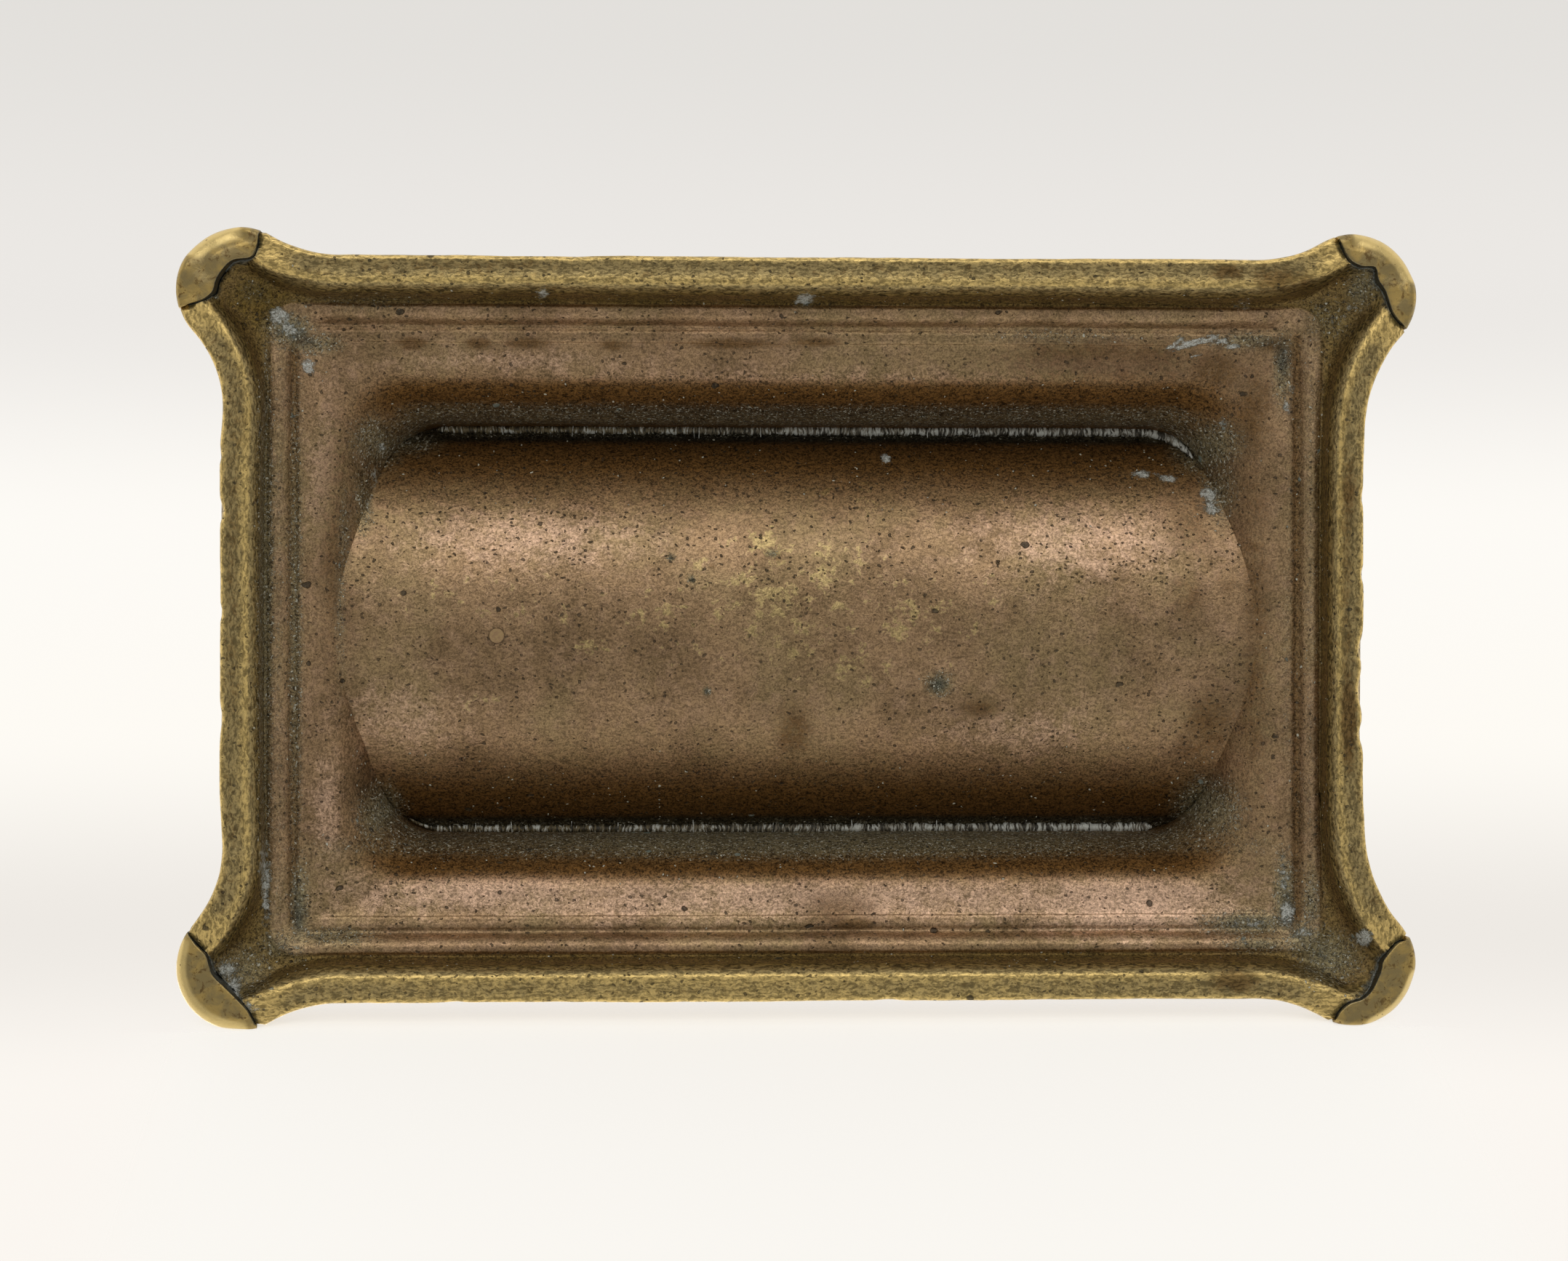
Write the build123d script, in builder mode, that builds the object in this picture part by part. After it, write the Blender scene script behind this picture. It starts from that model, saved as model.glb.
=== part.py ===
from build123d import *
from math import cos, radians, sin, sqrt
import os

# A small cast bronze desk box for postage stamps, standing on four corner toes. A flared foot carries a
# rectangular body whose floor is one long trough, parted into three bays with a curved bottom, so that a
# stamp slides up under a finger. The lid is hinged along the back. X is the length, -Y the front, +Z up.
# Millimetres.

# Driving dimensions of the whole
overall_length = 112.0  # over the corner toes, along X
overall_width = 72.0  # over the corner toes, along Y
body_top = 26.0  # upper edge of the body's walls
wall = 2.0  # thickness of the casting
fit_gap = 0.1  # running and seating gap between pieces that move
solder_gap = 0.05  # gap that solder fills between pieces that don't

# The flared foot
rim_height = 0.6  # the toes stand this much lower than the rim
plinth_top = 3.0  # top of the foot's upright edge
rim_width = 2.8  # width of the ground face
rim_bevel = 0.6  # worn bevel along the rim's inner edge
side_inset_x = 4.3  # the end faces lie this far inside the toes
side_inset_y = 2.4  # and the long faces this far
lobe_radius = 5.6
neck_radius = 12.0  # hollow curve between a lobe and a straight side
cavity_lean_x = 0.9  # the cavity's end walls lean in this far between rim and ledge
cavity_lean_y = 1.4
ledge_height = 4.2  # underside of the first moulding
ledge_step = 2.0  # its width round the band
ledge_corner = 2.0
band_height = 5.2  # underside of the second, wide moulding
band_face_x = 8.0  # its width, from its edge to the body's inner wall
band_face_y = 8.5
band_corner = 1.5
quirk_width = 1.0  # small groove between the ledge's bead and the band
quirk_depth = 0.3
bead_radius = 0.45  # rounding of the ledge's inner edge
edge_soften = 0.4  # small rounding of cast edges

# The body and its trough
bay_corner = 5.0
lip_radius = 4.5  # underside curve from the band into the hollow body
trough_flare = 4.5  # the trough's radius is this much more than half the hollow's width
trough_wall = 1.4
trough_rise = 0.2  # how far the trough's lowest line lies above the band
divider_wall = 1.2
divider_clearance = 0.9  # between a divider's top and the lid's locating lip
divider_dip = 5.0  # depth of the finger hollow in a divider
divider_dip_width = 24.0

# Soldered and pinned trim of the underside
toe_height = 2.6
toe_width = 3.2
toe_spread = 66.0  # degrees each side of the toe's middle
toe_middle = 40.0  # degrees from +X to the toe's middle
plug_radius = 0.66
plug_x = 27.6
plug_y = -0.6
plug_proud = 0.1
seam_depth = 1.2

# The lid
lid_overhang_x = 5.2  # its lobes stand out this far beyond the body's walls
lid_overhang_y = 4.5
lid_rim = 2.1  # thickness of the lid's edge
lid_side_inset_x = 2.1
lid_side_inset_y = 1.4
lid_lobe_radius = 3.6
lid_neck_radius = 8.0
lid_rise = 2.4  # height of the slope between edge and panel
lid_panel_inset_x = 10.2  # the raised panel lies this far inside the lobes
lid_panel_inset_y = 9.9
lid_slope_run = 4.5  # the slope's foot lies this far outside the panel
lid_panel_height = 0.8
lid_panel_step = 0.5  # width of the small step round the panel
lid_panel_corner = 4.0
field_margin = 4.5  # width of the raised frame round the sunk field
field_depth = 0.6
locator_gap = 0.4  # between the lid's locating lip and the body's walls
locator_wall = 1.5
locator_depth = 1.8
lid_plate = 2.0  # metal left over the lid's hollow
thumb_radius = 7.0
thumb_reach = 3.2  # how far the thumb piece stands out in front
thumb_thickness = 1.6

# The hinge
hinge_length = 40.0
knuckle_count = 5
knuckle_gap = 0.15
barrel_radius = 1.6
pin_radius = 0.75
pin_clearance = 0.05
leaf_thickness = 0.9
body_leaf_height = 8.0
body_screw_drop = 4.8  # the body leaf's screws lie this far below the pin
lid_leaf_reach = 9.0
screw_count = 3
screw_pitch = 14.0
screw_radius = 0.8
screw_clearance = 0.03
screw_head_radius = 1.4
screw_head_height = 0.7
screw_slot_width = 0.35
screw_slot_depth = 0.35
lid_screw_grip = 2.2  # length of the lid's screws inside the lid

# Places that follow from the sizes above, from the toes inwards
ledge_length = overall_length - 2 * (side_inset_x + rim_width + cavity_lean_x)
ledge_width = overall_width - 2 * (side_inset_y + rim_width + cavity_lean_y)
band_length = ledge_length - 2 * ledge_step
band_width = ledge_width - 2 * ledge_step
bay_length = band_length - 2 * band_face_x
bay_width = band_width - 2 * band_face_y
body_length = bay_length + 2 * wall
body_width = bay_width + 2 * wall
back_face = body_width / 2
band_top = band_height + wall
ledge_top = ledge_height + wall
trough_radius = bay_width / 2 + trough_flare
trough_inner_radius = trough_radius - trough_wall
trough_axis = band_height + trough_rise + trough_radius
seam_length = bay_length - 2 * bay_corner
lid_length = body_length + 2 * lid_overhang_x
lid_width = body_width + 2 * lid_overhang_y
lid_panel_length = lid_length - 2 * lid_panel_inset_x
lid_panel_width = lid_width - 2 * lid_panel_inset_y
lid_bottom = body_top + fit_gap
lid_edge_top = lid_bottom + lid_rim
lid_panel_foot = lid_edge_top + lid_rise
lid_top = lid_panel_foot + lid_panel_height
divider_top = lid_bottom - locator_depth - divider_clearance
barrel_y = back_face + fit_gap + barrel_radius
barrel_z = lid_bottom + leaf_thickness - barrel_radius
body_screw_z = barrel_z - body_screw_drop
lid_leaf_top = lid_bottom + leaf_thickness
lid_leaf_front = barrel_y - lid_leaf_reach
knuckle_pitch = hinge_length / knuckle_count
hinge_span = (-hinge_length / 2, hinge_length / 2)
compass = {"front": -1, "back": 1}
sides = {"left": -1, "right": 1}

os.makedirs("parts", exist_ok=True)


def on_arc(middle, radius, towards):
    return middle + towards.normalized() * radius


def between(middle, radius, start, stop):
    """The point halfway along the short arc from start to stop."""
    return on_arc(middle, radius, (start - middle).normalized() + (stop - middle).normalized())


def lobed_outline(length, width, inset_x, inset_y, lobe, neck, grow=0.0):
    """A rectangle whose four corners swell into round lobes, drawn in or out by grow.

    inset_x and inset_y are how far the straight sides lie inside the lobes' outermost points.
    """
    lobe_x, lobe_y = length / 2 - lobe, width / 2 - lobe
    side_x, side_y = length / 2 - inset_x, width / 2 - inset_y
    reach = lobe + neck
    neck_x = lobe_x - sqrt(reach**2 - (side_y + neck - lobe_y) ** 2)
    neck_y = lobe_y - sqrt(reach**2 - (side_x + neck - lobe_x) ** 2)
    end_neck = Vector(side_x + neck, neck_y)  # centre of the hollow curve on the short side
    long_neck = Vector(neck_x, side_y + neck)
    centre = Vector(lobe_x, lobe_y)
    side_x, side_y = side_x + grow, side_y + grow
    lobe, neck = lobe + grow, neck - grow

    end_start = Vector(side_x, neck_y)
    end_stop = on_arc(centre, lobe, end_neck - centre)
    long_start = on_arc(centre, lobe, long_neck - centre)
    long_stop = Vector(neck_x, side_y)
    with BuildSketch() as outline:
        with BuildLine():
            Line((side_x, 0), end_start)
            ThreePointArc(end_start, between(end_neck, neck, end_start, end_stop), end_stop)
            ThreePointArc(end_stop, between(centre, lobe, end_stop, long_start), long_start)
            ThreePointArc(long_start, between(long_neck, neck, long_start, long_stop), long_stop)
            Line(long_stop, (0, side_y))
            mirror(about=Plane.YZ)
            mirror(about=Plane.XZ)
        make_face()
    return outline.sketch


def foot_outline(grow=0.0):
    return lobed_outline(
        overall_length, overall_width, side_inset_x, side_inset_y, lobe_radius, neck_radius, grow
    )


def nearly_square_outline(length, width, corner):
    """A rounded rectangle with as many edges as the lobed outline, so that the two can be lofted."""
    swell = 0.1 * corner
    return lobed_outline(length + 2 * swell, width + 2 * swell, swell, swell, corner, corner)


def lid_outline():
    return lobed_outline(
        lid_length, lid_width, lid_side_inset_x, lid_side_inset_y, lid_lobe_radius, lid_neck_radius
    )


def hollow_of_body(gap):
    """The space inside the body's walls, with the flared lip at its foot, drawn in by gap on every side."""
    foot = band_height - gap
    with BuildPart() as space:
        with BuildSketch(Plane.XY.offset(foot)):
            RectangleRounded(bay_length - 2 * gap, bay_width - 2 * gap, bay_corner - gap)
        extrude(amount=body_top + wall - foot)
        with BuildSketch(Plane.XY.offset(foot)):
            RectangleRounded(band_length + 2 * wall, band_width + 2 * wall, band_corner)
        extrude(amount=-band_height)
        lip_edges = space.edges().filter_by_position(Axis.Z, foot, foot, (True, True))
        lip_edges = lip_edges.filter_by(lambda e: abs(e.center().X) < bay_length / 2 + gap)
        lip_edges = lip_edges.filter_by(lambda e: abs(e.center().Y) < bay_width / 2 + gap)
        fillet(lip_edges, radius=lip_radius + gap)
    return space.part


def toe_sector(grow):
    """The wedge of plan, round the +X +Y lobe's centre, that the toe takes up."""
    centre = Vector(overall_length / 2 - lobe_radius, overall_width / 2 - lobe_radius)
    far = 3 * lobe_radius

    def ray(angle):
        return centre + Vector(cos(radians(angle)), sin(radians(angle))) * far

    back_step = centre - Vector(cos(radians(toe_middle)), sin(radians(toe_middle))) * grow
    with BuildSketch() as wedge:
        with BuildLine():
            Polyline(
                back_step,
                ray(toe_middle - toe_spread - grow),
                ray(toe_middle),
                ray(toe_middle + toe_spread + grow),
                back_step,
            )
        make_face()
    return wedge.sketch


def toe_solid(gap):
    """The +X +Y corner toe. With a gap it is the notch that the toe sits in."""
    with BuildPart() as toe:
        with BuildSketch():
            add(foot_outline(gap))
            add(foot_outline(-toe_width - gap), mode=Mode.SUBTRACT)
            add(toe_sector(gap), mode=Mode.INTERSECT)
        extrude(amount=toe_height + gap)
    return toe.part


def block(x_range, y_range, z_range, mode=Mode.ADD):
    """A box given by its low and high X, Y and Z, joined to or cut from the part being built."""
    middle = [(low + high) / 2 for low, high in (x_range, y_range, z_range)]
    size = [high - low for low, high in (x_range, y_range, z_range)]
    with Locations(tuple(middle)):
        Box(*size, mode=mode)


def knuckle_zones(first):
    """The X ranges of every second knuckle, starting at number first."""
    return [
        (-hinge_length / 2 + i * knuckle_pitch, -hinge_length / 2 + (i + 1) * knuckle_pitch)
        for i in range(first, knuckle_count, 2)
    ]


def screw_places():
    return [(i - (screw_count - 1) / 2) * screw_pitch for i in range(screw_count)]


def screw(length):
    """A cheese-headed screw standing on its head's underside, its shank down -Z."""
    with BuildPart() as one:
        with BuildSketch(Plane.XY):
            Circle(screw_head_radius)
        extrude(amount=screw_head_height)
        fillet(one.edges().group_by(Axis.Z)[-1], radius=0.3 * screw_head_height)
        with BuildSketch(Plane.XY):
            Circle(screw_radius)
        extrude(amount=-length)
        with BuildSketch(Plane.XY.offset(screw_head_height)):
            Rectangle(3 * screw_head_radius, screw_slot_width)
        extrude(amount=-screw_slot_depth, mode=Mode.SUBTRACT)
    return one.part


# The base casting: foot, mouldings and walls in one piece
body_hollow = hollow_of_body(0.0)
toe_notch = toe_solid(solder_gap)
with BuildPart() as base_casting:
    with BuildSketch(Plane.XY.offset(rim_height)):
        add(foot_outline())
    extrude(amount=plinth_top - rim_height)
    fillet(base_casting.edges().group_by(Axis.Z)[0], radius=edge_soften)
    with BuildSketch(Plane.XY.offset(plinth_top)):
        add(foot_outline())
    with BuildSketch(Plane.XY.offset(ledge_top)):
        add(nearly_square_outline(ledge_length + 2 * wall, ledge_width + 2 * wall, ledge_corner + wall))
    loft(ruled=True)
    with BuildSketch(Plane.XY.offset(ledge_height)):
        RectangleRounded(band_length + 2 * wall, band_width + 2 * wall, band_corner + wall)
    extrude(amount=band_top - ledge_height)
    with BuildSketch(Plane.XY.offset(band_height)):
        RectangleRounded(body_length, body_width, bay_corner + wall)
    extrude(amount=body_top - band_height)
    foot_of_wall = base_casting.edges().filter_by_position(Axis.Z, band_top, band_top, (True, True))
    foot_of_wall = foot_of_wall.filter_by(lambda e: abs(e.center().X) < body_length / 2 + edge_soften)
    foot_of_wall = foot_of_wall.filter_by(lambda e: abs(e.center().Y) < body_width / 2 + edge_soften)
    fillet(foot_of_wall, radius=lip_radius - wall)
    # the underside: cavity, ledge, band and the hollow of the body
    with BuildSketch(Plane.XY.offset(rim_height)):
        add(foot_outline(-rim_width))
    with BuildSketch(Plane.XY.offset(ledge_height)):
        add(nearly_square_outline(ledge_length, ledge_width, ledge_corner))
    loft(ruled=True, mode=Mode.SUBTRACT)
    with BuildSketch(Plane.XY.offset(rim_height)):
        add(foot_outline(-rim_width + rim_bevel))
    with BuildSketch(Plane.XY.offset(rim_height + rim_bevel)):
        add(foot_outline(-rim_width - rim_bevel / 4))
    loft(ruled=True, mode=Mode.SUBTRACT)
    with BuildSketch(Plane.XY.offset(ledge_height)):
        RectangleRounded(band_length, band_width, band_corner)
    extrude(amount=band_height - ledge_height, mode=Mode.SUBTRACT)
    bead_edges = base_casting.edges().filter_by_position(Axis.Z, ledge_height, ledge_height, (True, True))
    bead_edges = bead_edges.filter_by(lambda e: abs(e.center().X) < (band_length + bead_radius) / 2)
    bead_edges = bead_edges.filter_by(lambda e: abs(e.center().Y) < (band_width + bead_radius) / 2)
    fillet(bead_edges, radius=bead_radius)
    with BuildSketch(Plane.XY.offset(band_height)):
        RectangleRounded(band_length, band_width, band_corner)
        RectangleRounded(band_length - 2 * quirk_width, band_width - 2 * quirk_width, band_corner / 2,
                         mode=Mode.SUBTRACT)
    extrude(amount=quirk_depth, mode=Mode.SUBTRACT)
    add(body_hollow, mode=Mode.SUBTRACT)
    # notches for the four soldered toes
    add(toe_notch, mode=Mode.SUBTRACT)
    add(toe_notch.mirror(Plane.YZ), mode=Mode.SUBTRACT)
    add(toe_notch.mirror(Plane.XZ), mode=Mode.SUBTRACT)
    add(toe_notch.mirror(Plane.YZ).mirror(Plane.XZ), mode=Mode.SUBTRACT)
    # holes for the hinge screws in the back wall
    with BuildSketch(Plane.XZ.offset(-back_face)):
        with Locations(*[(x, body_screw_z) for x in screw_places()]):
            Circle(screw_radius + screw_clearance)
    extrude(amount=wall, mode=Mode.SUBTRACT)
base_casting.part.label = "base_casting"

# Four brass toes, soldered into notches at the foot's corners
toe_blank = toe_solid(0.0)
with BuildPart() as toe:
    add(toe_blank)
    ground_edges = toe.edges().group_by(Axis.Z)[0]
    fillet(ground_edges, radius=edge_soften)
toes = {
    "toe_back_right": toe.part,
    "toe_back_left": toe.part.mirror(Plane.YZ),
    "toe_front_right": toe.part.mirror(Plane.XZ),
    "toe_front_left": toe.part.mirror(Plane.YZ).mirror(Plane.XZ),
}

# The trough: a curved floor, pushed up into the hollow of the body and soldered
trough_space = hollow_of_body(solder_gap)
with BuildPart() as stamp_trough:
    with BuildSketch(Plane.YZ.offset(-band_length / 2)):
        with Locations((0, trough_axis)):
            Circle(trough_radius)
            Circle(trough_inner_radius, mode=Mode.SUBTRACT)
        with Locations((0, trough_axis)):
            Rectangle(2 * trough_radius, 2 * trough_radius, align=(Align.CENTER, Align.MIN),
                      mode=Mode.SUBTRACT)
    extrude(amount=band_length)
    add(trough_space, mode=Mode.INTERSECT)
    with BuildSketch(Plane.XY):
        with Locations((plug_x, plug_y)):
            Circle(plug_radius + solder_gap / 2)
    extrude(amount=body_top, mode=Mode.SUBTRACT)
stamp_trough.part.label = "stamp_trough"

# The little brass plug that closes a casting hole in the trough
with BuildPart() as core_plug:
    with BuildSketch(Plane.XY.offset(trough_axis - trough_radius - plug_proud)):
        with Locations((plug_x, plug_y)):
            Circle(plug_radius)
    extrude(amount=trough_wall + 2 * plug_proud)
core_plug.part.label = "core_plug"

# Two upright dividers, soldered across the trough
bay_share = (bay_length - 2 * divider_wall) / 3
divider_x = (bay_share + divider_wall) / 2
with BuildPart() as divider:
    with BuildSketch(Plane.YZ.offset(-divider_wall / 2)):
        with Locations((0, trough_axis)):
            Circle(trough_inner_radius - solder_gap)
        with Locations((0, divider_top)):
            Rectangle(3 * trough_radius, 3 * trough_radius, align=(Align.CENTER, Align.MIN),
                      mode=Mode.SUBTRACT)
        Rectangle(bay_width - 2 * solder_gap, 2 * divider_top, mode=Mode.INTERSECT)
        dip_radius = (divider_dip**2 + (divider_dip_width / 2) ** 2) / (2 * divider_dip)
        with Locations((0, divider_top - divider_dip + dip_radius)):
            Circle(dip_radius, mode=Mode.SUBTRACT)
    extrude(amount=divider_wall)
    dip_edges = divider.edges().filter_by(GeomType.CIRCLE).sort_by(Axis.Z)[-2:]
    chamfer(dip_edges, length=divider_wall / 4)


# Beads of solder in the two long creases between trough and walls
crease_y = bay_width / 2
crease_z = trough_axis - sqrt(trough_radius**2 - crease_y**2)
bead_low_z = crease_z - seam_depth
bead_in_y = sqrt(trough_radius**2 - (trough_axis - bead_low_z) ** 2)
with BuildPart() as solder_seam:
    with BuildSketch(Plane.YZ.offset(-seam_length / 2)):
        with BuildLine():
            Polyline(
                (crease_y - solder_gap, crease_z - 2 * solder_gap),
                (crease_y - solder_gap, bead_low_z),
                (bead_in_y + solder_gap, bead_low_z),
                (crease_y - solder_gap, crease_z - 2 * solder_gap),
            )
        make_face()
        with Locations((0, trough_axis)):
            Circle(trough_radius + solder_gap / 2, mode=Mode.SUBTRACT)
    extrude(amount=seam_length)

# The hinge: a leaf screwed to the back wall, a leaf screwed under the lid, and a pin
with BuildPart() as body_leaf:
    block(hinge_span, (back_face, back_face + leaf_thickness), (barrel_z - body_leaf_height, barrel_z))
    for low, high in knuckle_zones(1):
        block((low - knuckle_gap, high + knuckle_gap), (back_face, barrel_y),
              (barrel_z - barrel_radius - 2 * fit_gap, barrel_z), mode=Mode.SUBTRACT)
    for low, high in knuckle_zones(0):
        with BuildSketch(Plane.YZ.offset(low)):
            with Locations((barrel_y, barrel_z)):
                Circle(barrel_radius)
        extrude(amount=high - low)
    with BuildSketch(Plane.YZ.offset(-hinge_length / 2)):
        with Locations((barrel_y, barrel_z)):
            Circle(pin_radius + pin_clearance)
    extrude(amount=hinge_length, mode=Mode.SUBTRACT)
    with BuildSketch(Plane.XZ.offset(-back_face - leaf_thickness)):
        with Locations(*[(x, body_screw_z) for x in screw_places()]):
            Circle(screw_radius + screw_clearance)
    extrude(amount=leaf_thickness, mode=Mode.SUBTRACT)
body_leaf.part.label = "hinge_leaf_body"

lid_screw_y = (lid_leaf_front + back_face - wall) / 2
with BuildPart() as lid_leaf:
    block(hinge_span, (lid_leaf_front, barrel_y), (lid_bottom, lid_leaf_top))
    for low, high in knuckle_zones(0):
        block((low - knuckle_gap, high + knuckle_gap), (barrel_y - barrel_radius - 2 * fit_gap, barrel_y),
              (lid_bottom, lid_leaf_top), mode=Mode.SUBTRACT)
    for low, high in knuckle_zones(1):
        with BuildSketch(Plane.YZ.offset(low + knuckle_gap)):
            with Locations((barrel_y, barrel_z)):
                Circle(barrel_radius)
        extrude(amount=high - low - 2 * knuckle_gap)
    with BuildSketch(Plane.YZ.offset(-hinge_length / 2)):
        with Locations((barrel_y, barrel_z)):
            Circle(pin_radius + pin_clearance)
    extrude(amount=hinge_length, mode=Mode.SUBTRACT)
    with BuildSketch(Plane.XY.offset(lid_bottom)):
        with Locations(*[(x, lid_screw_y) for x in screw_places()]):
            Circle(screw_radius + screw_clearance)
    extrude(amount=leaf_thickness, mode=Mode.SUBTRACT)
lid_leaf.part.label = "hinge_leaf_lid"

with BuildPart() as hinge_pin:
    with BuildSketch(Plane.YZ.offset(-hinge_length / 2 - leaf_thickness / 2)):
        with Locations((barrel_y, barrel_z)):
            Circle(pin_radius)
    extrude(amount=hinge_length + leaf_thickness)
    fillet(hinge_pin.edges().filter_by(GeomType.CIRCLE), radius=pin_radius / 3)
hinge_pin.part.label = "hinge_pin"

# The lid: a lobed edge, a slope up to a raised panel, and a hollow underside with a locating lip
with BuildPart() as lid:
    with BuildSketch(Plane.XY.offset(lid_bottom)):
        add(lid_outline())
    extrude(amount=lid_rim)
    fillet(lid.faces().sort_by(Axis.Z)[-1].edges(), radius=lid_rim / 3)
    with BuildSketch(Plane.XY.offset(lid_edge_top)):
        RectangleRounded(lid_panel_length + 2 * lid_slope_run, lid_panel_width + 2 * lid_slope_run,
                         lid_panel_corner + lid_slope_run)
    with BuildSketch(Plane.XY.offset(lid_panel_foot)):
        RectangleRounded(lid_panel_length, lid_panel_width, lid_panel_corner)
    loft(ruled=True)
    with BuildSketch(Plane.XY.offset(lid_panel_foot)):
        RectangleRounded(lid_panel_length - 2 * lid_panel_step, lid_panel_width - 2 * lid_panel_step,
                         lid_panel_corner - lid_panel_step)
    extrude(amount=lid_panel_height)
    fillet(lid.faces().sort_by(Axis.Z)[-1].edges(), radius=lid_panel_height / 2)
    with BuildSketch(Plane.XY.offset(lid_top)):
        RectangleRounded(lid_panel_length - 2 * field_margin, lid_panel_width - 2 * field_margin,
                         lid_panel_corner / 2)
    extrude(amount=-field_depth, mode=Mode.SUBTRACT)
    # the thumb piece in the middle of the front edge
    with BuildSketch(Plane.XY.offset(lid_bottom)):
        with Locations((0, -lid_width / 2 + lid_side_inset_y - thumb_reach + thumb_radius)):
            Circle(thumb_radius)
    extrude(amount=thumb_thickness)
    # the hollow and the lip that drops inside the body's walls
    with BuildSketch(Plane.XY.offset(lid_bottom)):
        RectangleRounded(bay_length - 2 * locator_gap, bay_width - 2 * locator_gap, bay_corner - locator_gap)
    extrude(amount=-locator_depth)
    hollow_ceiling = lid_top - field_depth - lid_plate
    with BuildSketch(Plane.XY.offset(lid_bottom - locator_depth)):
        RectangleRounded(
            bay_length - 2 * locator_gap - 2 * locator_wall,
            bay_width - 2 * locator_gap - 2 * locator_wall,
            bay_corner - locator_gap - locator_wall,
        )
    extrude(amount=hollow_ceiling - lid_bottom + locator_depth, mode=Mode.SUBTRACT)
    # the land that the lid's leaf is screwed to, and the cuts for leaf and barrel
    leaf_cut = (-hinge_length / 2 - 2 * fit_gap, hinge_length / 2 + 2 * fit_gap)
    notch_cut = (leaf_cut[0] - leaf_thickness, leaf_cut[1] + leaf_thickness)
    block(leaf_cut, (lid_leaf_front - fit_gap, back_face - wall), (lid_leaf_top, lid_edge_top))
    block(leaf_cut, (lid_leaf_front - fit_gap, lid_width), (lid_bottom - locator_depth, lid_leaf_top),
          mode=Mode.SUBTRACT)
    block(notch_cut, (back_face - fit_gap, lid_width), (lid_bottom - locator_depth, lid_top),
          mode=Mode.SUBTRACT)
    with BuildSketch(Plane.XY.offset(lid_leaf_top)):
        with Locations(*[(x, lid_screw_y) for x in screw_places()]):
            Circle(screw_radius + screw_clearance)
    extrude(amount=lid_screw_grip + fit_gap, mode=Mode.SUBTRACT)
lid.part.label = "lid"

# Screws of the two leaves
body_screw = screw(leaf_thickness + wall)
lid_screw = screw(leaf_thickness + lid_screw_grip)
body_screw_heads = Plane((0, back_face + leaf_thickness, body_screw_z), x_dir=(1, 0, 0), z_dir=(0, 1, 0))
lid_screw_heads = Plane((0, lid_screw_y, lid_bottom), x_dir=(1, 0, 0), z_dir=(0, 0, -1))
body_screws = Compound(children=[Pos(x, 0, 0) * body_screw_heads * body_screw for x in screw_places()])
lid_screws = Compound(children=[Pos(x, 0, 0) * lid_screw_heads * lid_screw for x in screw_places()])

for name, piece in toes.items():
    piece.label = name
    export_step(piece, f"parts/{name}.step")
for name, side in sides.items():
    piece = Pos(side * divider_x, 0, 0) * divider.part
    piece.label = f"divider_{name}"
    export_step(piece, f"parts/divider_{name}.step")
for name, side in compass.items():
    piece = solder_seam.part if side > 0 else solder_seam.part.mirror(Plane.XZ)
    piece.label = f"solder_seam_{name}"
    export_step(piece, f"parts/solder_seam_{name}.step")
body_screws.label = "hinge_screws_body"
export_step(body_screws, "parts/hinge_screws_body.step")
lid_screws.label = "hinge_screws_lid"
export_step(lid_screws, "parts/hinge_screws_lid.step")
export_step(base_casting.part, "parts/base_casting.step")
export_step(stamp_trough.part, "parts/stamp_trough.step")
export_step(core_plug.part, "parts/core_plug.step")
export_step(body_leaf.part, "parts/hinge_leaf_body.step")
export_step(lid_leaf.part, "parts/hinge_leaf_lid.step")
export_step(hinge_pin.part, "parts/hinge_pin.step")
export_step(lid.part, "parts/lid.step")
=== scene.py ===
# %% [markdown]
# A cast bronze desk box for postage stamps, seen from underneath. The box is about the size of a hand. Its
# foot flares out to four round lobes, a soldered brass toe is let into each lobe, and the floor of the box is
# one long trough that bulges down into the hollow of the foot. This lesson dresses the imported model: the
# mouldings, the trough and the toes are modelled again in finer meshes, and everything gets its old finish.

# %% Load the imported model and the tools
import math
import random

import bmesh
import bpy
import numpy as np
from mathutils import Matrix, Vector, kdtree, noise


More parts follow.
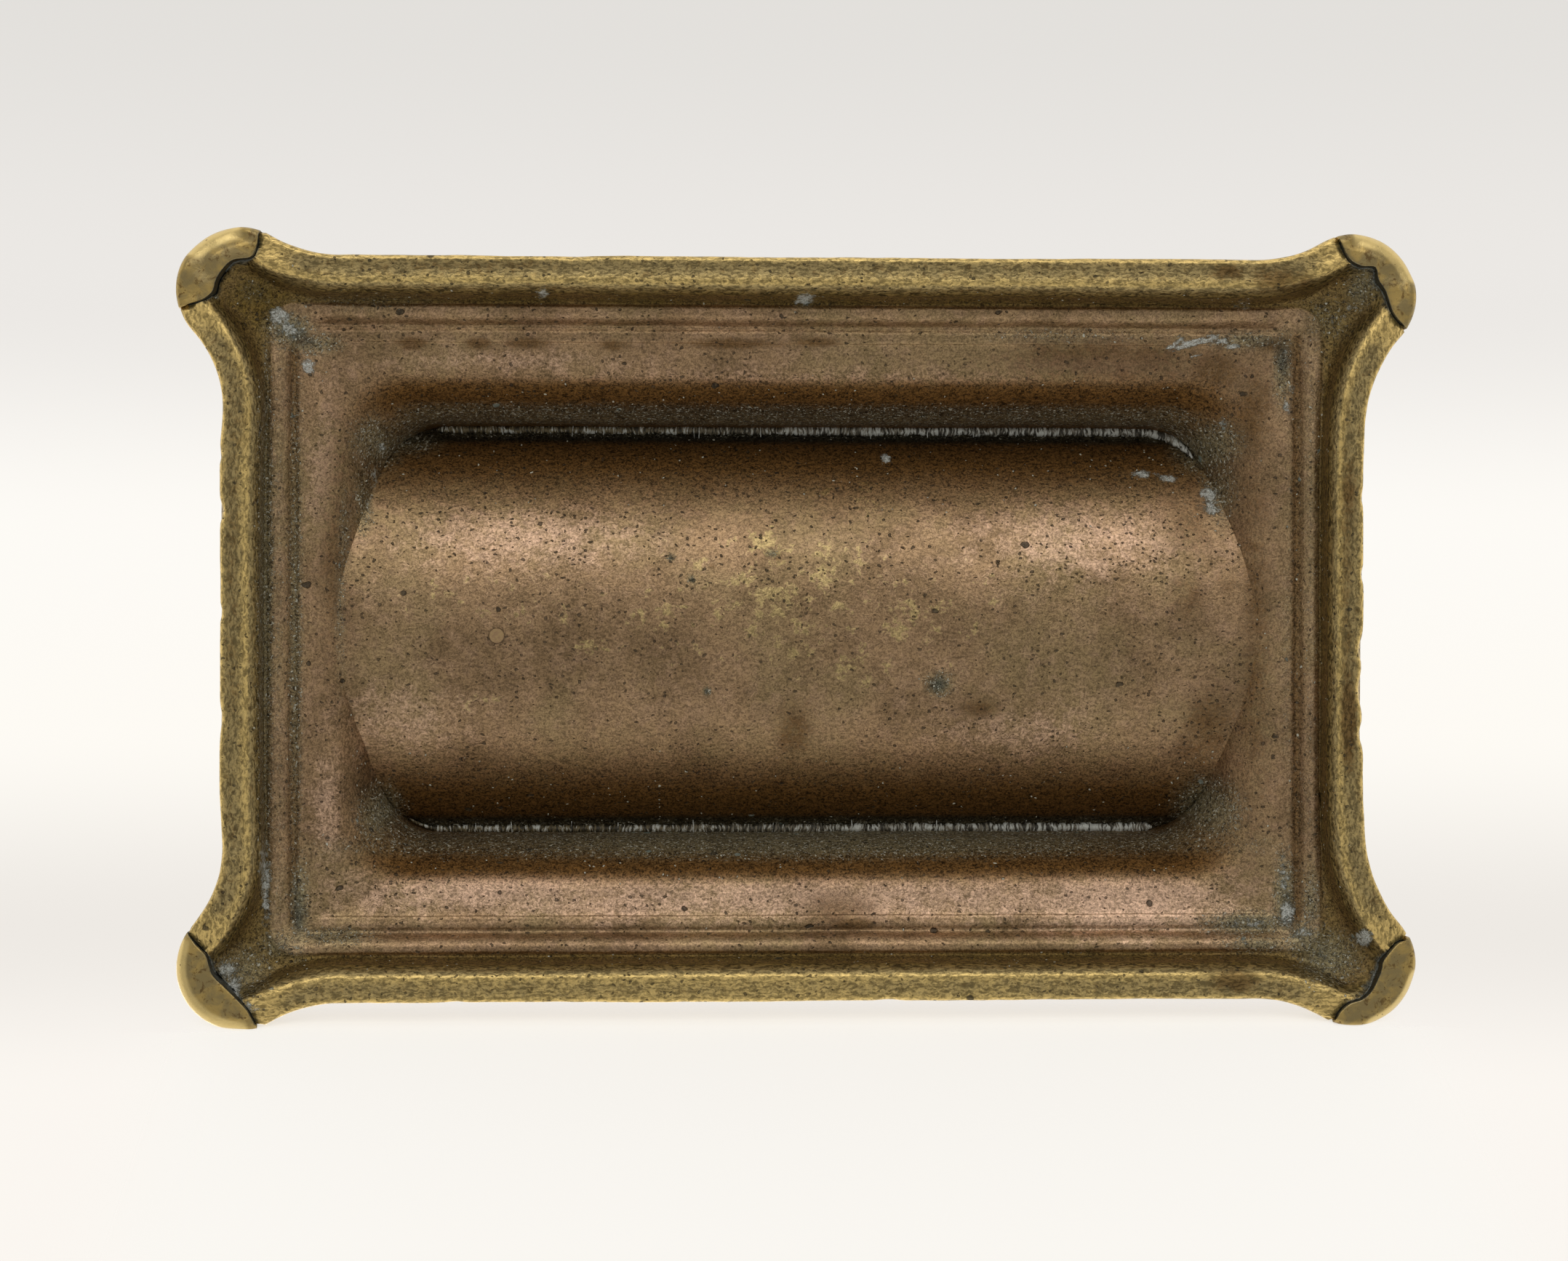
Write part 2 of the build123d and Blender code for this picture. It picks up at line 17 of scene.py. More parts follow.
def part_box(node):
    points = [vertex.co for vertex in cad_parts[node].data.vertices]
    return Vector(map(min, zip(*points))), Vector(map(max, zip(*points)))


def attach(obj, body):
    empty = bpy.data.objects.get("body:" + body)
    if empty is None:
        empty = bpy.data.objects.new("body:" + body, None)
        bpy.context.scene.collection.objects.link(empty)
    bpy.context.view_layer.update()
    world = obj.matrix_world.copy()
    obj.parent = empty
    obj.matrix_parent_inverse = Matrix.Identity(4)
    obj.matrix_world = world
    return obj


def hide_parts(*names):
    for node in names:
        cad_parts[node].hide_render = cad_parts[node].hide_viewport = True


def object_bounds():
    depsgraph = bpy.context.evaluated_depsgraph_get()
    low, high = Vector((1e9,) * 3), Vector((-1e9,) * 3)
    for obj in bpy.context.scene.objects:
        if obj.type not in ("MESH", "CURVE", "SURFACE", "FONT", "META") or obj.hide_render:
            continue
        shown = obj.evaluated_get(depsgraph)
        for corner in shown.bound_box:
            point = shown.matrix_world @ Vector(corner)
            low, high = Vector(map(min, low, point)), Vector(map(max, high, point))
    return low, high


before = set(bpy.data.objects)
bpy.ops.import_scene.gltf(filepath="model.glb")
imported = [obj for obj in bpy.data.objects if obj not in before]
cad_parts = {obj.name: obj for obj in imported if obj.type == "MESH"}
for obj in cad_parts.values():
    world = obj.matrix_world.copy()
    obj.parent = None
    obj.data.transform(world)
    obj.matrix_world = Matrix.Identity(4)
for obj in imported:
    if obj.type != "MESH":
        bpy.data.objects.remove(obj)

cad_low, cad_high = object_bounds()
mm = 0.001
print("the packed model is", [round(1000 * side, 1) for side in cad_high - cad_low], "mm")

# %% [markdown]
# The camera comes first, because all the rest is seen through it. The photograph looks straight up at
# the box's underside, so the camera stands below the box and looks along +Z, with the box's back (+Y) at the
# top of the picture and its right (+X) at the left. A hand-held camera is never quite square, so it is
# turned a little.

# %% Camera
camera_distance = 280 * mm
camera_target = Vector((1.58, -0.1, 0)) * mm
camera_yaw = math.radians(2.5)
camera_roll = math.radians(0.05)
camera_width = 141.0 * mm  # what the picture takes in, at the toes


def look_at(thing, place, target, up=Vector((0, 1, 0)), roll=0.0):
    """Puts a camera or a lamp at a place and turns it to a target."""
    forward = (target - place).normalized()
    right = forward.cross(up).normalized()
    upright = right.cross(forward)
    turn = Matrix((right, upright, -forward)).transposed().to_4x4()
    thing.matrix_world = Matrix.Translation(place) @ turn @ Matrix.Rotation(roll, 4, "Z")


camera = bpy.data.objects.new("camera", bpy.data.cameras.new("camera"))
bpy.context.scene.collection.objects.link(camera)
camera.data.sensor_width = 36.0
camera.data.lens = camera.data.sensor_width * camera_distance / camera_width
camera.data.clip_start = 0.01
away = Vector((math.sin(camera_yaw), 0, -math.cos(camera_yaw)))
look_at(camera, camera_target + away * camera_distance, camera_target, roll=camera_roll)
bpy.context.scene.camera = camera
bpy.context.scene.view_settings.view_transform = "Standard"
print("lens", round(camera.data.lens, 1), "mm")

# %% [markdown]
# The foot, the mouldings and the lip are all closed curves stacked on each other: a lobed outline at the
# foot, rounded rectangles further in. A lathe can't make that, but the idea is the same. One ring of points
# is pushed along the section of the casting, and each new ring takes its own outline and height. So the
# first helpers make outlines. Only a quarter is worked out, and the rest is its mirror image. Every outline
# has the same number of points, so that a lobed ring can run into a square one without a twist.

# %% Outlines of the foot
foot_low, foot_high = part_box("base_casting")
lobe_radius = 5.6 * mm
neck_radius = 12 * mm
reach = lobe_radius + neck_radius
lobe_x, lobe_y = foot_high.x - lobe_radius, foot_high.y - lobe_radius
side_x, side_y = foot_high.x - 4.3 * mm, foot_high.y - 2.4 * mm  # the straight sides, behind the lobes
neck_x = lobe_x - math.sqrt(reach**2 - (side_y + neck_radius - lobe_y) ** 2)  # the long side ends here
neck_y = lobe_y - math.sqrt(reach**2 - (side_x + neck_radius - lobe_x) ** 2)  # and the short side here
counts = (32, 15, 30, 11, 70)  # steps on the short side, its neck, the lobe, the long neck and the long side


def arc(centre, radius, start, stop, steps):
    """Points along an arc, without its last one."""
    angles = start + (stop - start) * np.arange(steps) / steps
    return np.column_stack([centre[0] + radius * np.cos(angles), centre[1] + radius * np.sin(angles)])


def straight(start, stop, steps):
    """Points along a straight line, without its last one."""
    share = (np.arange(steps) / steps)[:, None]
    return np.array(start) * (1 - share) + np.array(stop) * share


def all_round(quarter):
    """The quarter from the +X axis to the +Y axis, both ends included, mirrored into a closed ring."""
    back = quarter[:0:-1]
    return np.vstack([quarter[:-1], back * (-1, 1), -quarter[:-1], back * (1, -1)])


def lobed(grow):
    """The foot's outline, a rectangle whose corners swell into round lobes, drawn in or out by grow."""
    lobe, neck = lobe_radius + grow, neck_radius - grow
    end_neck = (side_x + neck_radius, neck_y)
    long_neck = (neck_x, side_y + neck_radius)
    first = math.atan2(end_neck[1] - lobe_y, end_neck[0] - lobe_x)
    last = math.atan2(long_neck[1] - lobe_y, long_neck[0] - lobe_x)
    end_x, long_y = side_x + grow, side_y + grow
    return all_round(np.vstack([
        straight((end_x, 0), (end_x, neck_y), counts[0]),
        arc(end_neck, neck, math.pi, first + math.pi, counts[1]),
        arc((lobe_x, lobe_y), lobe, first, last, counts[2]),
        arc(long_neck, neck, last - math.pi, -math.pi / 2, counts[3]),
        straight((neck_x, long_y), (0, long_y), counts[4]),
        [(0, long_y)],
    ]))


def framed(half_x, half_y, corner):
    """A rounded rectangle with its points shared out as on the lobed outline."""
    corner_x, corner_y = half_x - corner, half_y - corner
    split_x, split_y = min(neck_x, 0.9 * corner_x), min(neck_y, 0.7 * corner_y)
    return all_round(np.vstack([
        straight((half_x, 0), (half_x, split_y), counts[0]),
        straight((half_x, split_y), (half_x, corner_y), counts[1]),
        arc((corner_x, corner_y), corner, 0, math.pi / 2, counts[2]),
        straight((corner_x, half_y), (split_x, half_y), counts[3]),
        straight((split_x, half_y), (0, half_y), counts[4]),
        [(0, half_y)],
    ]))


print("a ring of the foot has", 4 * sum(counts), "points")

# %% [markdown]
# A ring also has a height, which may differ between the short ends and the long sides, and three marks
# that the finish reads later: wear, where hands and tables have rubbed the metal bright, a dark mark, where
# dirt stays and where shade is painted into the hollows and creases, and film, where the metal has turned
# grey-green. A run of rings is a smooth curve through a few key rings. The loft is then made with the mesh
# editor's own extrude: the last ring of edges is extruded, and the new points are moved to their places.

# %% Rings, runs and the loft
def smooth(share):
    """Makes an even change from 0 to 1 start and stop gently."""
    return share * share * (3 - 2 * share)


def within(value, low=0.0, high=1.0):
    return max(low, min(high, value))


def long_share():
    """For each point of a ring, 0 on the short ends, 1 on the long sides, and a smooth change between."""
    start, stop = sum(counts[:2]), sum(counts[:3])
    share = smooth(np.clip((np.arange(sum(counts) + 1) - start) / (stop - start), 0, 1))
    back = share[:0:-1]
    return np.concatenate([share[:-1], back, share[:-1], back])


on_long_side = long_share()


def ring(outline, height, wear=0.0, grime=0.0, film=0.0):
    """A closed ring: X, Y, Z and the marks of each point. A pair is for the short ends and the long sides."""
    rows = [outline]
    for value in (height, wear, grime, film):
        end, long = value if isinstance(value, tuple) else (value, value)
        rows.append(end * (1 - on_long_side) + long * on_long_side)
    return np.column_stack(rows)


def run(keys, steps):
    """Rings along a smooth curve through the key rings, without the last one."""
    padded = [2 * keys[0] - keys[1], *keys, 2 * keys[-1] - keys[-2]]
    rings = []
    for before, start, stop, after in zip(padded, padded[1:], padded[2:], padded[3:]):
        for step in range(steps):
            t = step / steps
            curve = 2 * start + (stop - before) * t
            curve = curve + (2 * before - 5 * start + 4 * stop - after) * t**2
            curve = curve + (3 * start - before - 3 * stop + after) * t**3
            rings.append(curve / 2)
    return rings


def new_marks(bm, *names):
    """Places for marks on the points of a mesh."""
    return [bm.verts.layers.float.new(name) for name in names]


def extrude(bm, edges):
    """Extrudes edges and gives back the new points and edges."""
    made = bmesh.ops.extrude_edge_only(bm, edges=edges)["geom"]
    points = [item for item in made if isinstance(item, bmesh.types.BMVert)]
    return points, [item for item in made if isinstance(item, bmesh.types.BMEdge)]


def loft(rings):
    """Pushes a circle of edges through all the rings and joins the last one to the first."""
    bm = bmesh.new()
    step = bm.verts.layers.int.new("step")
    wear, grime, film, end = new_marks(bm, "wear", "grime", "film", "end")
    points = bmesh.ops.create_circle(bm, segments=len(rings[0]), radius=1)["verts"]
    for number, point in enumerate(points):
        point[step] = number
    first_edges = edges = list(bm.edges)
    for number, rows in enumerate(rings):
        if number:
            points, edges = extrude(bm, edges)
        for point in points:
            row = rows[point[step]]
            point.co = row[:3]
            point[wear], point[grime], point[film] = row[3:]
            point[end] = 1 - on_long_side[point[step]]
    bmesh.ops.bridge_loops(bm, edges=first_edges + edges)
    print("a loft has", len(rings), "rings and", len(bm.faces), "faces")
    return bm


def finish_mesh(bm, name, body, node):
    """Turns a bmesh into a piece that rides on a body, in place of a node that it hides."""
    bmesh.ops.recalc_face_normals(bm, faces=bm.faces)
    mesh = bpy.data.meshes.new(name)
    bm.to_mesh(mesh)
    bm.free()
    mesh.shade_smooth()
    piece = bpy.data.objects.new(name, mesh)
    bpy.context.scene.collection.objects.link(piece)
    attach(piece, body)
    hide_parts(node)
    print(name, "has", sum(len(face.vertices) - 2 for face in mesh.polygons), "triangles")
    return piece


# %% [markdown]
# The casting's section, from the inside of the wall down over the lip, out along the wide band, over the
# groove, the bead and the dark wall of the cavity to the worn rim, then round the outer edge and up the
# outside. The band isn't flat: it dips towards the trough like a picture frame, which is why its lower
# stretch catches the light in the photograph and its upper one doesn't. Corners are short runs with a few
# key rings, so they come out slightly round, as cast and handled edges are.

# %% Section of the casting
ledge_half = (48.0, 29.4)  # the ledge outline, from the CAD's sizes


def in_metres(height):
    """A height, or a pair of heights, in millimetres made metres."""
    return tuple(level * mm for level in height) if isinstance(height, tuple) else height * mm


def foot_ring(grow, height, **marks):
    return ring(lobed(grow * mm), in_metres(height), **marks)


def square_ring(half_x, half_y, corner, height, **marks):
    return ring(framed(half_x * mm, half_y * mm, corner * mm), in_metres(height), **marks)


def ledge_ring(inwards, corner, height, **marks):
    half_x, half_y = (half - inwards for half in ledge_half)
    return square_ring(half_x, half_y, corner, height, **marks)


def between(outer, inner, share, height):
    """A ring between two others, at a height of its own."""
    mixed = outer * (1 - share) + inner * share
    mixed[:, 2] = height * mm
    return mixed


wall_top = foot_high.z / mm
# The dark marks grow down the wall and the lip towards the trough's crease: dirt, and painted shade in the
# deep recess.
inner_wall = [
    square_ring(38, 18.9, 5, wall_top - 0.35, grime=0.1),
    square_ring(38, 18.9, 5, 21, grime=0.3),
    square_ring(38, 18.9, 5, 16.5, grime=0.8),
    square_ring(38, 19.1, 5, (13.5, 14), grime=1),
]
lip = [
    inner_wall[-1],
    square_ring(38.15, 19.3, 5.1, (12, 12.6), grime=0.75, film=(0.6, 0.45)),
    square_ring(38.7, 19.7, 5.3, (10.2, 10.6), grime=(0.6, 0.75), film=(0.4, 0.6)),
    square_ring(39.9, 20.5, 5.7, (8, 8.6), grime=(0.4, 0.85), film=(0.15, 0.5)),
    square_ring(41.1, 21.5, 6.1, (6.5, 7.1), grime=(0.35, 1), film=(0.1, 0)),
    square_ring(42.2, 22.5, 6.5, (5.45, 6.2), grime=(0.3, 0.75)),
    square_ring(43.1, 23.4, 6.4, (5.2, 5.75), grime=(0.2, 0.35)),
    square_ring(43.9, 24.8, 4.4, (5.1, 5.45), grime=(0.15, 0)),
    square_ring(44.5, 26, 2.2, (5, 5.15), grime=(0.15, 0)),
    ledge_ring(3.2, 1.3, (4.98, 5), grime=(0.15, 0), film=(0.2, 0)),
]
mouldings = [
    lip[-1],
    ledge_ring(2.7, 1.2, (4.9, 4.88), grime=(0.3, 0), film=(0.3, 0)),
    ledge_ring(2.4, 1.1, (4.95, 4.82), grime=(0.55, 0.05), film=(0.3, 0)),
    ledge_ring(2.12, 1, (5.05, 4.9), grime=(0.7, 0.25), film=(0.3, 0.1)),
    ledge_ring(1.86, 1, (4.95, 4.98), grime=(0.65, 0.3), film=(0.3, 0.1)),
    ledge_ring(1.62, 1.1, (4.65, 4.75), grime=(0.4, 0.15), film=(0.3, 0)),
    ledge_ring(1.3, 1.3, (4.3, 4.3), wear=0.05, film=(0.3, 0)),
    ledge_ring(0.9, 1.6, (4.05, 3.92), wear=0.1, film=(0.35, 0)),
    ledge_ring(0.5, 1.9, (3.98, 3.78), wear=0.1, film=(0.3, 0)),
    ledge_ring(0.1, 2.2, (4.05, 3.8), grime=(0.4, 0.2), film=(0.3, 0)),
    ledge_ring(-0.12, 2.4, (4.1, 3.92), grime=(0.7, 0.4), film=(0.3, 0)),
]
# The ledge edge, the cavity and the inside of the rim carry the dark mark: dirt, and painted shade in that
# hollow.
ledge_edge = ledge_ring(-0.25, 2.6, (4.25, 4.1), grime=0.7, film=(0.3, 0))
rim_inside = foot_ring(-3.3, 1.75, grime=0.65)
cavity = [
    ledge_edge,
    between(ledge_edge, rim_inside, 0.3, 3.9),
    between(ledge_edge, rim_inside, 0.7, 3),
    rim_inside,
]
rim = [
    rim_inside,
    foot_ring(-3, 1.25, wear=0.05, grime=0.4),
    foot_ring(-2.7, 0.9, wear=0.2, grime=0.15),
    foot_ring(-2.4, 0.68, wear=0.55),
    foot_ring(-2.1, 0.63, wear=0.5),
    foot_ring(-1.6, 0.7, wear=0.3),
    foot_ring(-0.9, 0.74, wear=0.25),
    foot_ring(-0.42, 0.68, wear=0.4),
    foot_ring(-0.15, 0.8, wear=0.85),
    foot_ring(0, 1.2, wear=0.7),
    foot_ring(0, 2.1, wear=0.4),
    foot_ring(0, 2.72, wear=0.5),
    foot_ring(-0.2, 2.98, wear=0.7),
]
flare_start = foot_ring(-0.7, 3.05)
step_outline = square_ring(50, 31.4, 4, 6.05)
flare = [
    rim[-1],
    between(flare_start, step_outline, 0.03, 3.06),
    between(flare_start, step_outline, 0.4, 3.7),
    between(flare_start, step_outline, 0.75, 4.75),
    step_outline,
]
outside = [
    step_outline,
    square_ring(49.85, 31.25, 3.9, 6.25, wear=0.5),
    square_ring(49.4, 30.8, 3.8, 6.32, wear=0.3),
    square_ring(48.3, 29.7, 3.6, 6.34, grime=0.6),
    square_ring(48.02, 29.42, 3.5, 6.5, grime=0.7),
    square_ring(48, 29.4, 3.5, 6.95, wear=0.3),
    square_ring(47.8, 29.2, 3.4, 7.16, wear=0.6),
    square_ring(47.3, 28.7, 3.4, 7.22, wear=0.3),
    square_ring(44, 25.2, 5.5, 7.26),
    square_ring(42.3, 23.3, 8.4, 7.45, grime=0.3),
    square_ring(41, 21.95, 7.7, 8.1, grime=0.5),
    square_ring(40.25, 21.15, 7.2, 9.2, grime=0.4),
    square_ring(40, 20.9, 7, 10.8, grime=0.2),
]
outer_wall = [
    outside[-1],
    square_ring(40, 20.9, 7, 15.5),
    square_ring(40, 20.9, 7, 20.5),
    square_ring(40, 20.9, 7, wall_top - 0.4, wear=0.2),
]
wall_edge = [
    outer_wall[-1],
    square_ring(39.88, 20.78, 6.9, wall_top - 0.1, wear=0.9),
    square_ring(39.6, 20.5, 6.6, wall_top, wear=0.9),
    square_ring(39, 19.9, 6, wall_top, wear=0.5),
    square_ring(38.4, 19.3, 5.4, wall_top, wear=0.9),
    square_ring(38.12, 19.02, 5.1, wall_top - 0.1, wear=0.9),
]
section = (
    run(inner_wall, 3) + run(lip, 3) + run(mouldings, 2) + run(cavity, 4) + run(rim, 2)
    + run(flare, 3) + run(outside, 2) + run(outer_wall, 3) + run(wall_edge, 2) + wall_edge[-1:]
)
print(len(section), "rings from the hollow of the body to its outer edge")

# %% [markdown]
# Each toe is a piece of brass let into a lobe, with a dark, jagged seam all along it. The seam's corners
# are listed as offsets from the middle of the lobe. The casting needs them first, because its rim
# is cut back under the toes: points of the casting inside a seam are lifted to the toe's upper side, and
# how far a point lies from the seam is kept as one more mark, which the finish turns into the black crack.

# %% Seams of the toes
toe_seams = {
    "toe_back_right": ((-1.80, 5.02), (-1.66, 3.80), (-1.16, 2.81), (0.41, 2.52), (1.26, 1.81),
                       (1.91, 0.81), (2.19, -0.18), (2.83, -0.83), (3.69, -1.18), (4.40, -1.39)),
    "toe_back_left": ((1.45, 4.78), (1.02, 3.78), (0.52, 3.07), (-0.47, 2.58), (-1.69, 2.47),
                      (-1.97, 1.36), (-2.61, 0.36), (-3.19, -1.35), (-3.75, -2.20), (-4.40, -2.80)),
    "toe_front_right": ((4.45, 3.18), (3.66, 2.19), (2.81, 1.33), (2.48, 0.34), (2.16, -0.53),
                        (1.17, -1.52), (0.17, -2.52), (-0.76, -3.51), (-1.18, -4.23), (-1.54, -4.94)),
    "toe_front_left": ((1.83, -4.94), (1.40, -4.16), (0.54, -3.44), (-0.53, -3.09), (-1.38, -2.38),
                       (-1.95, -1.31), (-2.31, -0.38), (-2.52, 0.47), (-3.73, 1.90), (-4.51, 2.18)),
}
toe_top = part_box("toe_back_right")[1].z
far_from_seam = 2 * mm


def lobe_centre(name):
    """The middle of the lobe that a toe belongs to."""
    return Vector((lobe_x if name.endswith("right") else -lobe_x, lobe_y if "back" in name else -lobe_y))


def seam_line(name):
    """The seam as a smooth line of points in the box's frame."""
    corners = [np.array(offset) for offset in toe_seams[name]]
    return [lobe_centre(name) + Vector(point) * mm for point in run(corners, 5) + corners[-1:]]


def toe_region(name):
    """The toe's plan as a closed outline, running well past the lobe on the outside."""
    centre = lobe_centre(name)
    line = seam_line(name)
    start, stop = line[-1] - centre, line[0] - centre
    outwards = Vector((centre.x / abs(centre.x), centre.y / abs(centre.y))) * 2 * lobe_radius
    beyond = [centre + start.normalized() * 2 * lobe_radius, centre + outwards,
              centre + stop.normalized() * 2 * lobe_radius]
    return line + beyond


def is_inside(point, outline):
    """True if a straight way out of the outline crosses it an odd number of times."""
    inside = False
    for one, other in zip(outline, outline[1:] + outline[:1]):
        if (one.y > point.y) != (other.y > point.y):
            crossing = one.x + (point.y - one.y) / (other.y - one.y) * (other.x - one.x)
            inside ^= point.x < crossing
    return inside


def nearest_on_line(point, line):
    """The line's point that lies nearest to a point."""
    nearest = line[0]
    for one, other in zip(line, line[1:]):
        along = other - one
        share = within((point - one).dot(along) / along.length_squared)
        place = one + along * share
        if (place - point).length < (nearest - point).length:
            nearest = place
    return nearest


regions = {name: (seam_line(name), toe_region(name), lobe_centre(name)) for name in toe_seams}
print("the seams have", [len(line) for line, _, _ in regions.values()], "corners")

# %% [markdown]
# Nothing on an old casting is quite straight. After the loft, every point is pushed a little along its
# normal by smooth noise: slow waves of a tenth of a millimetre, and a finer unevenness of a few hundredths.
# The rim also has nicks where the box has been knocked. Deep pits and scratches stay in the material.

